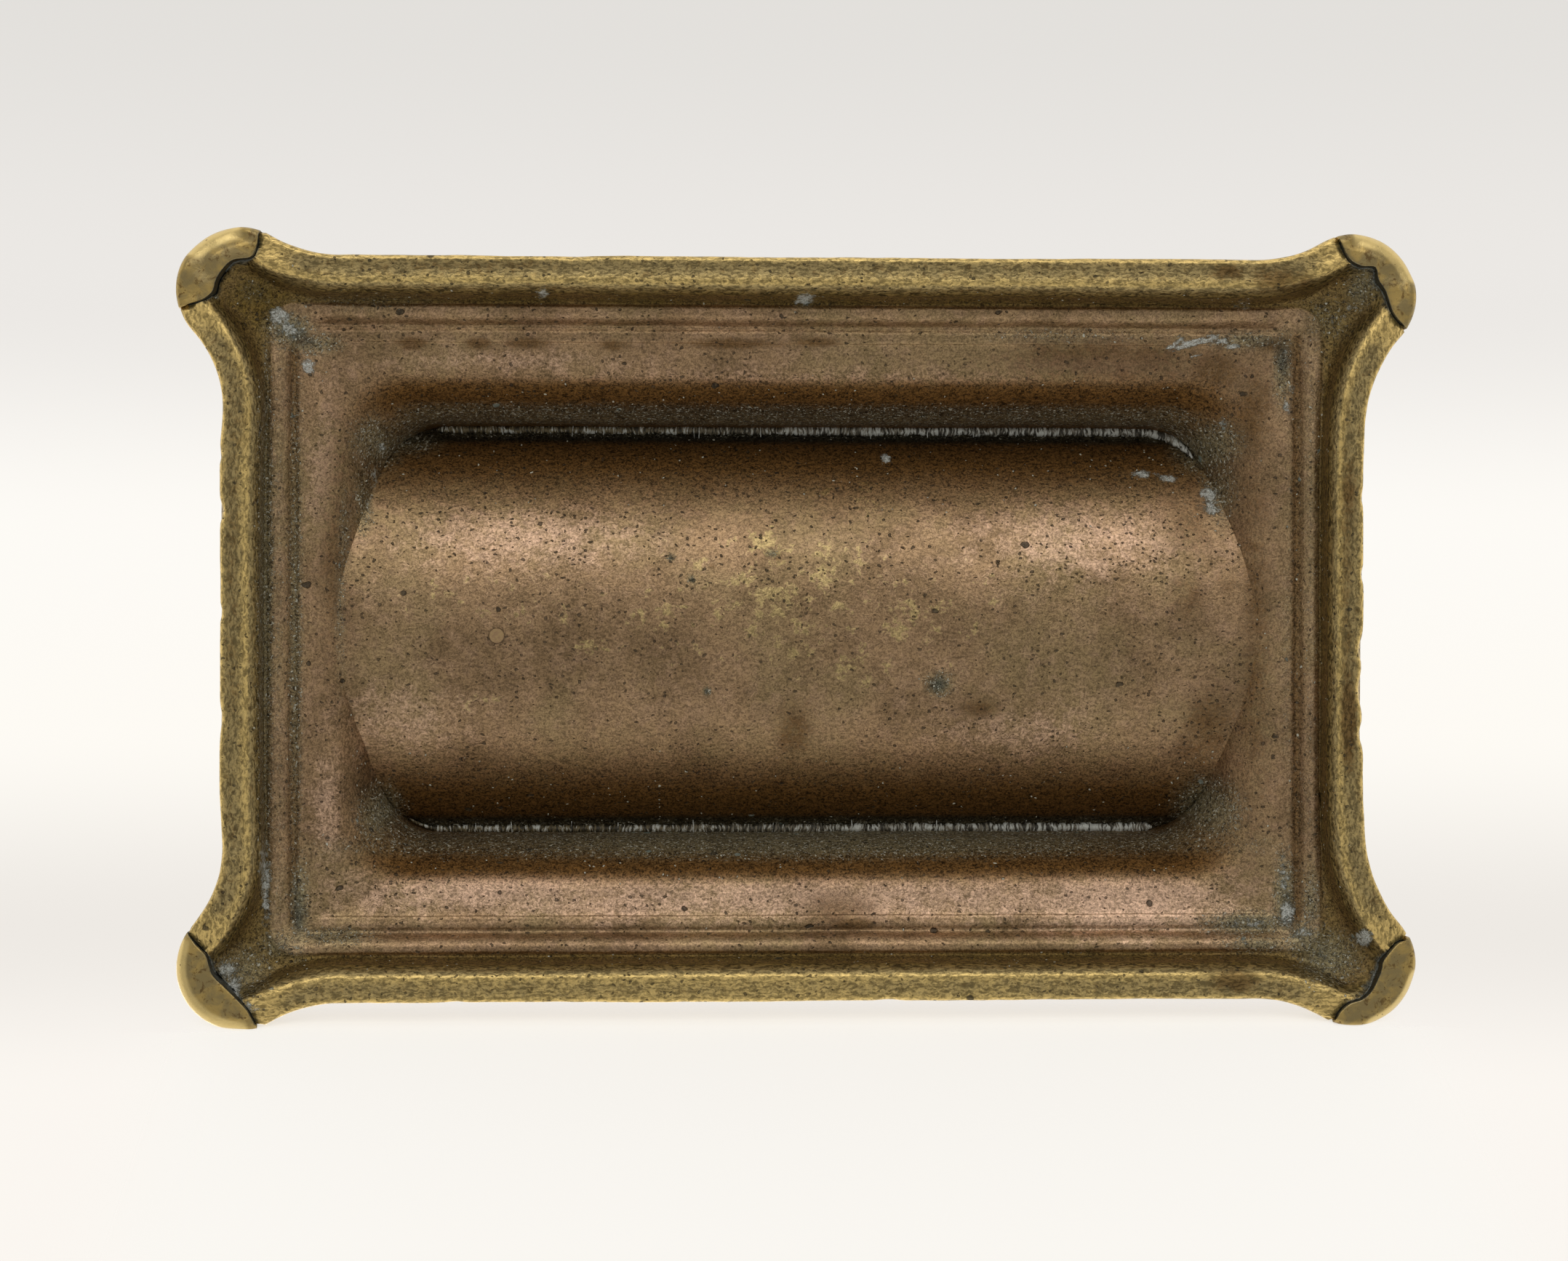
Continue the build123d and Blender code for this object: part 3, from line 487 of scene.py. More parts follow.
# %% The base casting
nicks = (  # place, reach along the edge and depth, in millimetres
    ((51.7, 10.6), 1.2, 0.45), ((51.7, 1.5), 0.8, 0.25), ((51.7, -8), 1.6, 0.3), ((51.7, 15.5), 0.7, 0.2),
    ((-51.7, -1.8), 1.6, 0.55), ((-51.7, -5.5), 2.6, 0.6), ((-51.7, -9.5), 1.4, 0.5), ((-51.7, 5), 0.8, 0.3),
    ((-51.7, 12), 1, 0.25), ((20, 33.6), 2, 0.15), ((-8, -33.6), 1.5, 0.2), ((31, -33.6), 1, 0.15),
)
stains = {  # middle, reach along X and Y in millimetres, and strength
    "crust": (
        (47.2, 28.4, 0.9, 0.7, 0.9), (46.2, 27.2, 1.3, 0.9, 0.7), (44.7, 26.3, 1.2, 0.5, 0.5),
        (48.3, 20.2, 0.3, 7.3, 0.4), (44.7, 23.9, 0.5, 0.5, 1), (48.3, -23.1, 0.3, 5, 0.75),
        (45.7, -24.2, 0.3, 3.7, 0.5), (46.6, -28.8, 0.8, 0.4, 0.6), (44.4, -27.8, 1.2, 0.3, 0.5),
        (48.4, -28.5, 1.1, 0.8, 0.4), (51.6, -30.8, 0.8, 0.9, 0.8), (51, -32.4, 0.5, 1.5, 0.9),
        (49.6, -33.9, 1.5, 0.4, 0.7), (-34.5, 25.95, 0.35, 0.1, 1), (-35.2, 26.5, 0.2, 0.4, 1),
        (-36.1, 26.35, 0.4, 0.2, 1), (-37.2, 26.6, 0.5, 0.1, 1), (-38.2, 26.9, 0.35, 0.1, 1),
        (-39, 26.55, 0.5, 0.1, 1), (-40, 26.1, 0.5, 0.05, 0.95), (-36.6, 25.2, 0.1, 0.1, 1),
        (-40.6, 29.7, 0.7, 0.5, 0.6), (-49, 28.6, 0.5, 0.4, 0.6), (-50.5, 29.5, 0.4, 0.3, 0.6),
        (-48, 25.8, 0.3, 0.4, 0.6), (-45, 20.6, 0.3, 0.9, 0.7), (-45.5, 22.3, 0.3, 0.5, 0.6),
        (-44.9, 25.6, 0.5, 1.5, 0.5), (-39.5, 19.3, 0.4, 0.5, 0.6), (-44.8, -22.7, 0.4, 2.7, 0.65),
        (-45, -26.1, 0.7, 1.1, 0.85), (-41.6, -27, 3.3, 0.5, 0.6), (-46.4, -27.8, 1.3, 0.5, 0.65),
        (-48.2, -30, 1.5, 0.9, 0.5), (-47, -26.4, 0.4, 2, 0.45), (-40.6, -28.8, 3, 0.3, 0.45),
        (-51.5, -28.1, 0.4, 0.7, 1), (-52.6, -32.3, 0.3, 0.9, 0.8), (-51, -33.5, 0.9, 0.4, 0.6),
        (-0.4, 30, 0.8, 0.4, 0.85), (23.3, 30.4, 0.5, 0.3, 0.75), (38.5, 16.7, 0.3, 0.8, 0.65),
        (39.1, 14.1, 0.3, 1.4, 0.6), (39.7, 11.7, 0.3, 1.3, 0.5), (41.3, 6.9, 0.3, 2.7, 0.35),
        (42.1, 0.2, 0.2, 3.3, 0.3), (40.3, -12, 0.3, 2, 0.45), (38.6, -16.9, 0.5, 2.4, 0.55),
        (-38.6, 12.6, 0.8, 0.7, 0.85), (-38.7, 11.3, 1.2, 0.5, 0.75), (-32.5, 14.6, 0.9, 0.2, 0.95),
        (-34.8, 14.2, 0.7, 0.2, 0.95), (-8.5, 16.1, 0.3, 0.2, 1), (-38.2, -14.4, 1.5, 2, 0.4),
        (-37.2, 16.9, 2, 2, 0.4),
    ),
    "film": (
        (48.25, 2, 0.4, 24, 0.8), (45.8, 0, 0.45, 24, 0.7), (46.3, 27.2, 1.8, 1.2, 1),
        (44.2, 25.9, 2.4, 0.8, 0.8), (45.4, -25, 0.6, 4, 0.9), (42, -27.9, 3.4, 0.5, 0.8),
        (50.2, -31, 2.2, 2.2, 0.7), (47.2, -28.6, 1.6, 1, 0.7), (-44.8, -24.5, 0.7, 3.6, 1),
        (-41.5, -27, 4, 0.8, 1), (-42, -28.9, 3, 0.5, 0.8), (-47.2, -25, 0.5, 3, 0.8),
        (-46.6, -28.4, 1.8, 1.4, 0.9), (-48.6, -30, 2.4, 2, 0.9), (-44.6, 24, 0.7, 3.4, 0.8),
        (-41, 26.7, 3.2, 0.6, 0.8), (-48.5, 28.5, 2.6, 2.2, 0.5), (-51.3, 31.2, 1, 1.6, 0.8),
        (-38.4, 17, 2.4, 2, 0.9), (-39.4, 13, 1.2, 3, 0.7), (-38.6, -16.6, 2.4, 2.4, 0.9),
        (38.8, 17.2, 2, 2, 0.8), (39.9, 12, 0.6, 3.4, 0.7), (38.6, -17, 1.6, 2.2, 0.9),
        (41.8, 2, 0.3, 9, 0.5), (-13, -5, 1, 0.9, 0.9), (39, 29.6, 9, 0.7, 0.4), (-24, 27, 9, 0.6, 0.5),
        (49.5, 30.5, 1.6, 1.2, 0.4), (-45, -4, 0.4, 16, 0.35), (0, -19.8, 36, 1, 0.95),
        (36, 17.5, 2.5, 1, 0.7), (41.5, 9, 0.3, 4, 0.6), (11.7, 6.6, 0.15, 0.1, 1), (9.8, 4.6, 0.1, 0.15, 1),
        (2.4, 7, 0.3, 0.1, 1), (8.4, -5.7, 0.1, 0.2, 1),
    ),
    "gold": (
        (3, 3, 15, 7, 0.45), (24, 3, 10, 5, 0.35), (-11, 1.5, 10, 5, 0.42), (30, -6, 6, 4, 0.3),
        (3.2, 8, 3.4, 1.7, 0.55), (-2.6, 5.8, 2.7, 2.7, 0.5), (1.8, 2.9, 4, 1.7, 0.55),
        (12.7, 0.7, 4, 1.3, 0.5), (18.4, -1.4, 2.7, 1, 0.5), (-5.4, -3.6, 3.4, 2, 0.5),
        (-13.4, 2.2, 3.3, 1.3, 0.5), (-6.2, 13.1, 4, 2.7, 0.45), (32.8, 2.9, 4, 2.7, 0.4),
        (0.3, -2.1, 2.7, 2.7, 0.5), (6, -32.7, 34, 0.7, 0.7),
    ),
    "copper_and_highlight": (
        # The two at y 8.5 paint the lamp's highlight on the trough pink. Those along the lower band are worn
        # copper and painted light where that band catches the light.
        (25, 8.5, 11, 3, 0.6), (-27, 8.5, 11, 3.5, 0.6), (28.5, -23.7, 12, 2, 0.8),
        (-30, -25.2, 10, 2.7, 0.9), (42.9, -16.5, 1.3, 5.3, 0.6), (36, -8.6, 6.1, 3.4, 0.5),
        (-20.7, -9.9, 8.1, 2.7, 0.5), (43.1, 14.9, 1.5, 7.4, 0.5), (26.4, 24.4, 10.7, 0.8, 0.5),
        (-27.2, 24.4, 8.1, 0.9, 0.6), (0, -24.6, 45, 1.8, 0.7), (0, 22.9, 34, 0.7, 0.5),
    ),
    "dark": (
        (0.3, -9.2, 2, 2.7, 0.7), (-12.8, -5, 0.9, 0.8, 0.9), (-16.8, -7.3, 2.3, 0.9, 0.7),
        (35.3, 26, 1.4, 0.4, 0.9), (29.3, 26, 1.2, 0.35, 0.9), (24.8, 26.1, 2, 0.35, 0.85),
        (17, 25.9, 1.4, 0.35, 0.9), (6.5, 26.1, 5, 0.3, 0.85), (-1.5, 26.3, 2.3, 0.25, 0.8),
        (-28, 24.8, 12, 2.2, 0.75), (-38.5, 24, 3, 2, 0.75), (-3.5, -25.6, 4, 1.8, 0.7),
        # The long strips at y 20.9 and 17.8 paint the shade along the back crease, on the wall and on the
        # trough beside the solder.
        (-5, -27, 2, 0.5, 0.9), (-42.2, 0, 1.6, 24, 0.6), (-42.2, 20, 1.8, 5, 0.75), (0, 20.9, 35, 1, 1),
        (0, 17.8, 33, 0.5, 1), (-44.7, 25.3, 0.7, 1.6, 1), (-43.5, 26.3, 1.6, 0.5, 0.9),
        (42.3, 8, 1.6, 14, 0.6), (50.2, 20, 1, 5, 0.5), (49, 29.8, 2.2, 2.2, 0.9), (-36, 3, 2, 2.5, 0.6),
        (45.2, 26.4, 1, 0.8, 0.8), (45.6, -26.2, 0.6, 2, 0.8), (-45.4, -26.2, 0.6, 2, 0.8),
        (-38.7, 32.4, 1.5, 0.6, 0.9), (-39.9, 4.2, 1.5, 1.3, 0.6), (-36.5, 9.5, 3.6, 3.6, 0.6),
        (-38, -9, 3, 4, 0.7), (41.1, 0.9, 0.9, 4, 0.4), (1.9, 6.7, 0.7, 0.5, 0.6), (11.7, 6.6, 0.15, 0.1, 1),
        (9.8, 4.6, 0.1, 0.15, 1), (7.9, 5.8, 0.05, 0.05, 1), (8.4, -5.7, 0.1, 0.2, 1),
        (27, -1.5, 1.4, 1.6, 0.35), (-49.5, 6, 0.6, 20, 0.6), (-49.8, -8, 0.6, 5, 1),
        (-49.8, 12, 0.6, 4, 0.8), (-43, 31.8, 2.5, 1.2, 0.8), (-39.5, -31.8, 2.2, 1, 0.9),
        (51, 4, 0.5, 22, 0.5), (30, 32.6, 14, 0.6, 0.5), (-45.6, 31.6, 2, 1, 0.7),
    ),
    "pitted": (
        (-31.3, 8.6, 6, 3, 0.9), (-29, 5.8, 3, 1.4, 0.9), (-33.5, 6.4, 2.4, 1.8, 0.9), (26, 10, 9, 3, 0.6),
        (10, 7, 9, 3, 0.4), (-36.5, -6, 4, 6, 0.6),
    ),
}
stain_border = 0.25  # millimetres that every stain reaches further


def stain(bm, has_outside):
    """Marks the underside with the stains, each one fading out from its middle. An outside stays clean."""
    bm.normal_update()
    marks = bm.verts.layers.float
    layers = {name: marks.get(name) or marks.new(name) for name in stains}
    for point in bm.verts:
        outside = has_outside and point.co.z > 6 * mm and point.normal.xy.dot(point.co.xy) > 0
        if outside or point.normal.z > 0.4 or point.co.z > 16 * mm:
            continue
        x, y = point.co.xy / mm
        for name, spots in stains.items():
            for middle_x, middle_y, reach_x, reach_y, strength in spots:
                across = (x - middle_x) / (reach_x + stain_border)
                upwards = (y - middle_y) / (reach_y + stain_border)
                apart = across**2 + upwards**2
                if apart < 6:
                    point[layers[name]] = max(point[layers[name]], strength * math.exp(-0.7 * apart))


def roughen(bm, waves, waves_size, grain, grain_size, seed):
    """Pushes points along their normals by slow waves and finer grain."""
    bm.normal_update()
    offset = Vector((seed, 2.3 * seed, 5.1 * seed))
    for point in bm.verts:
        slow = noise.noise(point.co / waves_size + offset)
        fine = noise.noise(point.co / grain_size - offset)
        point.co += point.normal * (waves * slow + grain * fine)


def shift_ends(bm):
    """The two straight ends of the foot sit a little towards +X, between toes that don't."""
    for point in bm.verts:
        if abs(point.co.x) > 46 * mm and point.co.z < 6 * mm:
            between_toes = smooth(within((24 * mm - abs(point.co.y)) / (10 * mm)))
            point.co.x += 0.45 * mm * between_toes * within((abs(point.co.x) / mm - 46) / 4)


def soften_corners(bm):
    """Fills the corners of the mouldings, where old crust has gathered, so that bead and groove fade out."""
    for point in bm.verts:
        x, y = abs(point.co.x) / mm - 46.3, abs(point.co.y) / mm - 27.7
        if point.co.z > 5.6 * mm or math.hypot(x, y) > 5:
            continue
        outwards = within(((x + y) / math.sqrt(2) + 2.4) / 4.2)
        filled = (4.95 - 0.95 * smooth(outwards)) * mm
        share = 0.95 * math.exp(-(x * x + y * y) / 5.5)
        point.co.z += share * (filled - point.co.z)


def knock_edges(bm):
    """Presses the nicks into the outer edge of the rim."""
    for (place_x, place_y), reach, depth in nicks:
        place = Vector((place_x, place_y)) * mm
        inwards = Vector((-place.x, 0, 0)) if abs(place_x) > 50 else Vector((0, -place.y, 0))
        for point in bm.verts:
            if point.co.z < 2.2 * mm and (point.co.xy - place).length < 2 * reach * mm:
                spread = (point.co.xy - place).length / (reach * mm)
                fade = max(0.0, 1 - point.co.z / (2.2 * mm))
                press = depth * mm * math.exp(-2 * spread**2)
                point.co += inwards.normalized() * press * (0.4 + 0.6 * fade)
                point.co.z += 0.5 * press * fade


def cut_under_toes(bm):
    """Lifts the casting's points under each toe. The seam mark is 1 at the seam and 0 far outside it."""
    seam, = new_marks(bm, "seam")
    wear = bm.verts.layers.float["wear"]
    for point in bm.verts:
        if point.co.z > 3.05 * mm:
            continue
        for line, outline, centre in regions.values():
            if (point.co.xy - centre).length > 2 * lobe_radius:
                continue
            nearest = nearest_on_line(point.co.xy, line)
            offset = point.co.xy - nearest
            distance = offset.length
            inside = is_inside(point.co.xy, outline)
            from_outline = lobe_radius - (point.co.xy - centre).length
            gap = (0.09 + 0.07 * noise.noise(nearest.to_3d() / (0.8 * mm))) * mm
            gap *= within(from_outline / (0.9 * mm), 0.1)
            snapped = distance < (0.3 * mm if inside else 0.5 * mm)
            if snapped:
                point.co.xy = nearest + offset.normalized() * (0 if inside else gap)
                distance = 0.0 if inside else gap
            fade = within((from_outline - 0.15 * mm) / (0.5 * mm))
            point[seam] = fade * (1 + min(1.0, distance / far_from_seam) * (1 if inside else -1))
            point[wear] += 0.6 * max(0.0, 1 - distance / (4 * mm)) * (point.co.z < 1.0 * mm)
            if inside and snapped and point.co.z < 1.5 * mm:
                point.co.z += 0.2 * mm
            elif inside:
                point.co.z = max(point.co.z, toe_top + 0.06 * mm)


casting_mesh = loft(section)
roughen(casting_mesh, 0.11 * mm, 9 * mm, 0.035 * mm, 1.6 * mm, seed=3)
soften_corners(casting_mesh)
knock_edges(casting_mesh)
shift_ends(casting_mesh)
cut_under_toes(casting_mesh)
stain(casting_mesh, has_outside=True)
for point in casting_mesh.verts:
    point.co.x = within(point.co.x, cad_low.x, cad_high.x)
    point.co.y = within(point.co.y, foot_low.y, foot_high.y)
base_casting = finish_mesh(casting_mesh, "base_casting_cast", "case", "base_casting")

# %% [markdown]
# A toe starts as a grid. Its first side is laid along the seam and its last side along the lobe's outline,
# and the rows between them follow: a small rounding at the seam, a flat ground face, and a broad worn
# rounding at the outer edge, which is what shines brightest in the photograph. Then the open border is
# extruded up into the casting and the top is filled.

# %% The four toes
toe_columns = 90
toe_rows = 26
toe_edge = 0.8 * mm  # width of the worn outer rounding
toe_facets = {  # where a toe is worn down to a facet: direction and half angle in degrees, width, depth
    "toe_back_right": (62, 25, 2.0 * mm, 1.0 * mm),
    "toe_back_left": (128, 36, 1.7 * mm, 0.8 * mm),
    "toe_front_right": (-35, 60, 1.5 * mm, 0.6 * mm),
    "toe_front_left": (222, 34, 1.0 * mm, 0.65 * mm),
}


def along_polyline(line, share):
    """The point at a share of a line's length."""
    lengths = [(b - a).length for a, b in zip(line, line[1:])]
    left = share * sum(lengths)
    for (start, stop), length in zip(zip(line, line[1:]), lengths):
        if left <= length:
            return start.lerp(stop, left / length)
        left -= length
    return line[-1]


def angle_between(centre, one, other, corner):
    """Start and stop angles from one to other, the way round that passes the corner."""
    start = math.atan2(one.y - centre.y, one.x - centre.x)
    stop = math.atan2(other.y - centre.y, other.x - centre.x)
    middle = math.atan2(corner.y, corner.x)
    while abs((start + stop) / 2 - middle) > math.pi / 2:
        if (start + stop) / 2 > middle:
            start, stop = (start - 2 * math.pi, stop) if start > stop else (start, stop - 2 * math.pi)
        else:
            start, stop = (start + 2 * math.pi, stop) if start < stop else (start, stop + 2 * math.pi)
    return start, stop


def row_shares(width):
    """Shares across a toe, from seam to edge, with the rows close together at both roundings."""
    inner = [0, 0.03 * mm, 0.08 * mm, 0.16 * mm, 0.28 * mm]
    outer = [width - 1.8 * mm * (1 - math.cos(math.pi / 2 * step / 12)) for step in range(12, -1, -1)]
    steps = toe_rows - len(inner) - len(outer)
    start, stop = inner[-1], max(outer[0], inner[-1] + 0.05 * mm)
    middle = [start + (stop - start) * (step + 1) / (steps + 1) for step in range(steps)]
    return [within(place / width) for place in inner + middle + outer]


def quarter_round(distance, width, depth):
    """A rounding: depth at distance 0, nothing from width on."""
    slope = 1 - min(1.0, distance / width)
    return depth * (1 - math.sqrt(max(0.0, 1 - slope * slope)))


def facet_share(name, angle, from_edge):
    """1 at the outer edge in the middle of the toe's worn facet, and 0 beside it."""
    direction, half, width, _ = toe_facets[name]
    turned = abs((math.degrees(angle) - direction + 180) % 360 - 180)
    return max(0.0, 1 - from_edge / width) / (1 + math.exp((turned - half) / 4))


def toe_height(name, angle, from_seam, from_edge):
    """The ground face's height over its direction from the lobe's middle and its distance from both edges."""
    height = quarter_round(from_edge, toe_edge, 0.75 * mm) + quarter_round(from_seam, 0.2 * mm, 0.25 * mm)
    return height + toe_facets[name][3] * facet_share(name, angle, from_edge)


def make_toe(name, seed):
    line, _, centre = regions[name]
    outwards = Vector((centre.x / abs(centre.x), centre.y / abs(centre.y)))
    start, stop = angle_between(centre, line[0], line[-1], outwards)
    bm = bmesh.new()
    column = bm.verts.layers.int.new("column")
    row = bm.verts.layers.int.new("row")
    grime, wear = new_marks(bm, "grime", "wear")
    bmesh.ops.create_grid(bm, x_segments=toe_columns, y_segments=toe_rows - 1, size=1)
    for point in bm.verts:
        point[column] = round((point.co.x + 1) / 2 * toe_columns)
        point[row] = round((point.co.y + 1) / 2 * (toe_rows - 1))
    for point in bm.verts:
        share = point[column] / toe_columns
        inner = along_polyline(line, share)
        angle = start + (stop - start) * share
        outer = centre + Vector((math.cos(angle), math.sin(angle))) * lobe_radius
        width = (outer - inner).length
        place = inner.lerp(outer, row_shares(width)[point[row]])
        from_seam, from_edge = (place - inner).length, (place - outer).length
        uneven = noise.noise(Vector((place.x, place.y, seed * mm)) / (1.7 * mm))
        hollow = 0.12 * mm * math.sin(math.pi * from_seam / width) ** 2
        height = toe_height(name, angle, from_seam, from_edge)
        height += hollow * (0.7 + uneven) + 0.05 * mm * (1 + uneven)
        point.co = (place.x, place.y, max(0.0, height))
        point[grime] = max(0.0, 1 - from_seam / (0.24 * mm))
        point[wear] = min(1.0, 2.5 * facet_share(name, angle, from_edge))
    border = [edge for edge in bm.edges if edge.is_boundary]
    for level in (0.7, 1.0):
        points, border = extrude(bm, border)
        for point in points:
            point.co.z = max(point.co.z, toe_top * level)
    bmesh.ops.contextual_create(bm, geom=border)
    bmesh.ops.remove_doubles(bm, verts=bm.verts, dist=0.001 * mm)
    return finish_mesh(bm, name + "_brass", "case", name)


toes = [make_toe(name, seed) for seed, name in enumerate(toe_seams)]

# %% [markdown]
# The trough is a grid bent round the X axis. Its ends aren't straight: they run out against the flared lip
# of the casting, so each row of the grid is made just long enough to reach a little into the lip, and the
# visible crease is where the two surfaces meet. A solidify gives the sheet its thickness.

# %% The trough
trough_low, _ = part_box("stamp_trough")
trough_radius = 23.4 * mm
trough_wall = 1.4 * mm
trough_axis = trough_low.z + trough_radius
trough_half_width = 19.15 * mm
corner_start, corner_x, corner_reach = 13.9, 33.3, 5.7  # the wall's corner, in millimetres


def trough_end(y):
    """How far the trough runs along X, at a distance y from its middle line."""
    run_out = 42.6 - 0.0184 * (y / mm) ** 2
    past_corner = abs(y / mm) - corner_start
    if past_corner > 0:
        run_out = min(run_out, corner_x + math.sqrt(max(0.0, corner_reach**2 - past_corner**2)))
    return run_out * mm


def make_trough():
    bm = bmesh.new()
    grime, film = new_marks(bm, "grime", "film")
    bmesh.ops.create_grid(bm, x_segments=270, y_segments=110, size=1)
    edge_angle = math.asin(trough_half_width / trough_radius)
    for point in bm.verts:
        angle = point.co.y * edge_angle
        y = trough_radius * math.sin(angle)
        x = point.co.x * trough_end(y)
        point.co = (x, y, trough_axis - trough_radius * math.cos(angle))
        depth = (point.co.z - trough_low.z) / (10 * mm)
        # Darker up the trough's sides and black at its edges: painted shade where the lip shades the trough,
        # with some dirt.
        point[grime] = within(1.8 * depth - 0.12) + within(abs(y) / mm - 17.1)
        point[film] = 0.5 * within((abs(y) / mm - 17) / 1.5)
    bmesh.ops.recalc_face_normals(bm, faces=bm.faces)
    if sum(face.normal.z for face in bm.faces) > 0:
        bmesh.ops.reverse_faces(bm, faces=bm.faces)
    roughen(bm, 0.05 * mm, 7 * mm, 0.02 * mm, 1.3 * mm, seed=11)
    stain(bm, has_outside=False)
    bmesh.ops.solidify(bm, geom=bm.faces[:], thickness=trough_wall)
    return finish_mesh(bm, "stamp_trough_sheet", "case", "stamp_trough")


stamp_trough = make_trough()

# %% [markdown]
# A bead of solder lies in each long crease. It is a small ring pushed along the wall. Age has cracked it into
# short blocks, some fat and some thin, and a few thin fins stand where it ran into the cracks. It gets fatter
# and paler towards the box's left, and at its ends it follows the corner of the hollow for a little way.

# %% The solder seams
crease_y = 18.8 * mm
bay_corner = 5.0 * mm
seam_straight = 33.0 * mm


def seam_path(side, turn_right, turn_left):
    """Middle line of a bead. The turns are how far it follows the corner at its two ends, in degrees."""
    points = []
    for angle in np.linspace(turn_right, 0, 12)[:-1]:
        points.append((seam_straight + bay_corner * math.sin(math.radians(angle)),
                       crease_y - bay_corner * (1 - math.cos(math.radians(angle)))))
    points += [(x, crease_y) for x in np.linspace(seam_straight, -seam_straight, 420)]
    for angle in np.linspace(0, turn_left, 26)[1:]:
        points.append((-seam_straight - bay_corner * math.sin(math.radians(angle)),
                       crease_y - bay_corner * (1 - math.cos(math.radians(angle)))))
    return [Vector((x, side * y, 0)) for x, y in points]


def crease_height(y):
    """How high the crease between trough and wall lies, at a distance y from the middle."""
    return trough_axis - math.sqrt(trough_radius**2 - min(abs(y), 19.1 * mm) ** 2) - 0.5 * mm


def block_size(place, blocks):
    """How fat the bead is at a place along it: each block has its own size, with a crack at both its ends."""
    for start, stop, size in blocks:
        if start <= place < stop:
            from_crack = min(place - start, stop - place) / (0.16 * mm)
            return size * (0.62 + 0.38 * math.sin(math.pi / 2 * min(1.0, from_crack)))
    return 0.7


def make_blocks(length, seed):
    """Blocks of solder from one end of a bead to the other: start, stop and size."""
    dice = random.Random(seed)
    blocks = []
    place = 0.0
    while place < length:
        long = dice.uniform(0.45, 1.35) * mm
        blocks.append((place, place + long, dice.uniform(0.75, 1.12)))
        place += long
    return blocks


def make_seam(name, side, turn_right, turn_left, fins, seed):
    bm = bmesh.new()
    path = seam_path(side, turn_right, turn_left)
    blocks = make_blocks(sum((b - a).length for a, b in zip(path, path[1:])), seed)
    gone = 0.0
    place_of = bm.verts.layers.int.new("place")
    pale, = new_marks(bm, "pale")
    points = bmesh.ops.create_circle(bm, segments=10, radius=1, cap_ends=True)["verts"]
    shape = [point.co.copy() for point in points]
    for number, point in enumerate(points):
        point[place_of] = number
    edges = list(bm.edges)
    for number, centre in enumerate(path):
        before, after = path[max(0, number - 1)], path[min(len(path) - 1, number + 1)]
        along = (after - before).normalized()
        across = Vector((-along.y, along.x, 0))
        if number:
            points, edges = extrude(bm, edges)
            gone += (centre - before).length
        taper = min(1.0, 0.25 + min(number, len(path) - 1 - number) / 20)
        towards_left = within(0.35 - centre.x / (60 * mm))
        size = taper * block_size(gone, blocks) * (0.8 + 0.3 * towards_left)
        for point in points:
            flat = shape[point[place_of]]
            ripple = 0.05 * mm * noise.noise(Vector((centre.x / mm * 2, flat.x * 2, seed)))
            middle = centre + across * flat.x * (0.52 * mm * size + ripple)
            point.co = (middle.x, middle.y, crease_height(centre.y) - flat.y * 0.46 * mm * size + ripple)
            point[pale] = towards_left
    bmesh.ops.contextual_create(bm, geom=edges)
    for x, length, stands in fins:
        fin = bmesh.ops.create_cube(bm, size=1)["verts"]
        bmesh.ops.scale(bm, vec=Vector((0.14, length, stands)) * mm, verts=fin)
        for point in fin:
            point.co.x *= 0.45 if point.co.z < 0 else 1.0
            point[pale] = 1.6
        turn = Matrix.Rotation(0.12 * math.sin(7 * x), 3, "Z")
        place = Vector((x * mm, side * (crease_y - 0.1 * mm), crease_height(crease_y)))
        bmesh.ops.rotate(bm, cent=(0, 0, 0), matrix=turn, verts=fin)
        bmesh.ops.translate(bm, vec=place, verts=fin)
    print(name, "has", len(path), "rings and", len(fins), "fins")
    return finish_mesh(bm, name + "_bead", "case", name)


back_fins = (  # place along X, length and height, in millimetres
    (20.9, 1.1, 0.9), (18, 0.8, 0.8), (9.5, 2.2, 1.1), (9, 1.5, 1), (3.2, 1.1, 0.9), (-7.2, 1.5, 1),
    (-12.6, 1.1, 0.9), (-17, 1, 0.9), (-21, 0.8, 0.8), (27.5, 0.8, 0.7),
)
front_fins = (
    (26.6, 1.2, 0.9), (21, 1.7, 1), (16.6, 1, 0.8), (9.5, 2, 1.1), (-5.5, 1.8, 1), (-13.5, 1.6, 1),
    (-22, 1.6, 1), (2, 0.9, 0.8), (30, 0.9, 0.7),
)
solder_seams = [
    make_seam("solder_seam_back", 1, 8, 62, back_fins, seed=5.5),
    make_seam("solder_seam_front", -1, 38, 12, front_fins, seed=8.5),
]

# %% [markdown]
# The lid, the two dividers and the hinge leaves keep the shapes they were packed with, but their edges are
# knife-sharp and their faces are a few large triangles, which can't carry any marks. So each one is copied,
# merged and remeshed on an even grid of small cells. That rounds its edges by about one cell, as filing and
# handling do. Then every point is marked with wear if it lies near an edge that stands out, and is darkened
# if it lies near one in a corner.

# %% Lid, dividers and hinge leaves
def edge_places(bm):
    """Places along the edges that stand out and along those that lie in a corner, as two search trees."""
    standing_out, in_corner = [], []
    for edge in bm.edges:
        angle = math.degrees(edge.calc_face_angle_signed(0))
        if abs(angle) > 10:
            one, other = (point.co for point in edge.verts)
            steps = math.ceil((other - one).length / (0.3 * mm))
            places = [one.lerp(other, step / steps) for step in range(steps + 1)]
            (standing_out if angle > 0 else in_corner).extend(places)
    trees = []
    for places in (standing_out, in_corner):
        tree = kdtree.KDTree(len(places))
        for number, place in enumerate(places):
            tree.insert(place, number)
        tree.balance()
        trees.append(tree)
    return trees


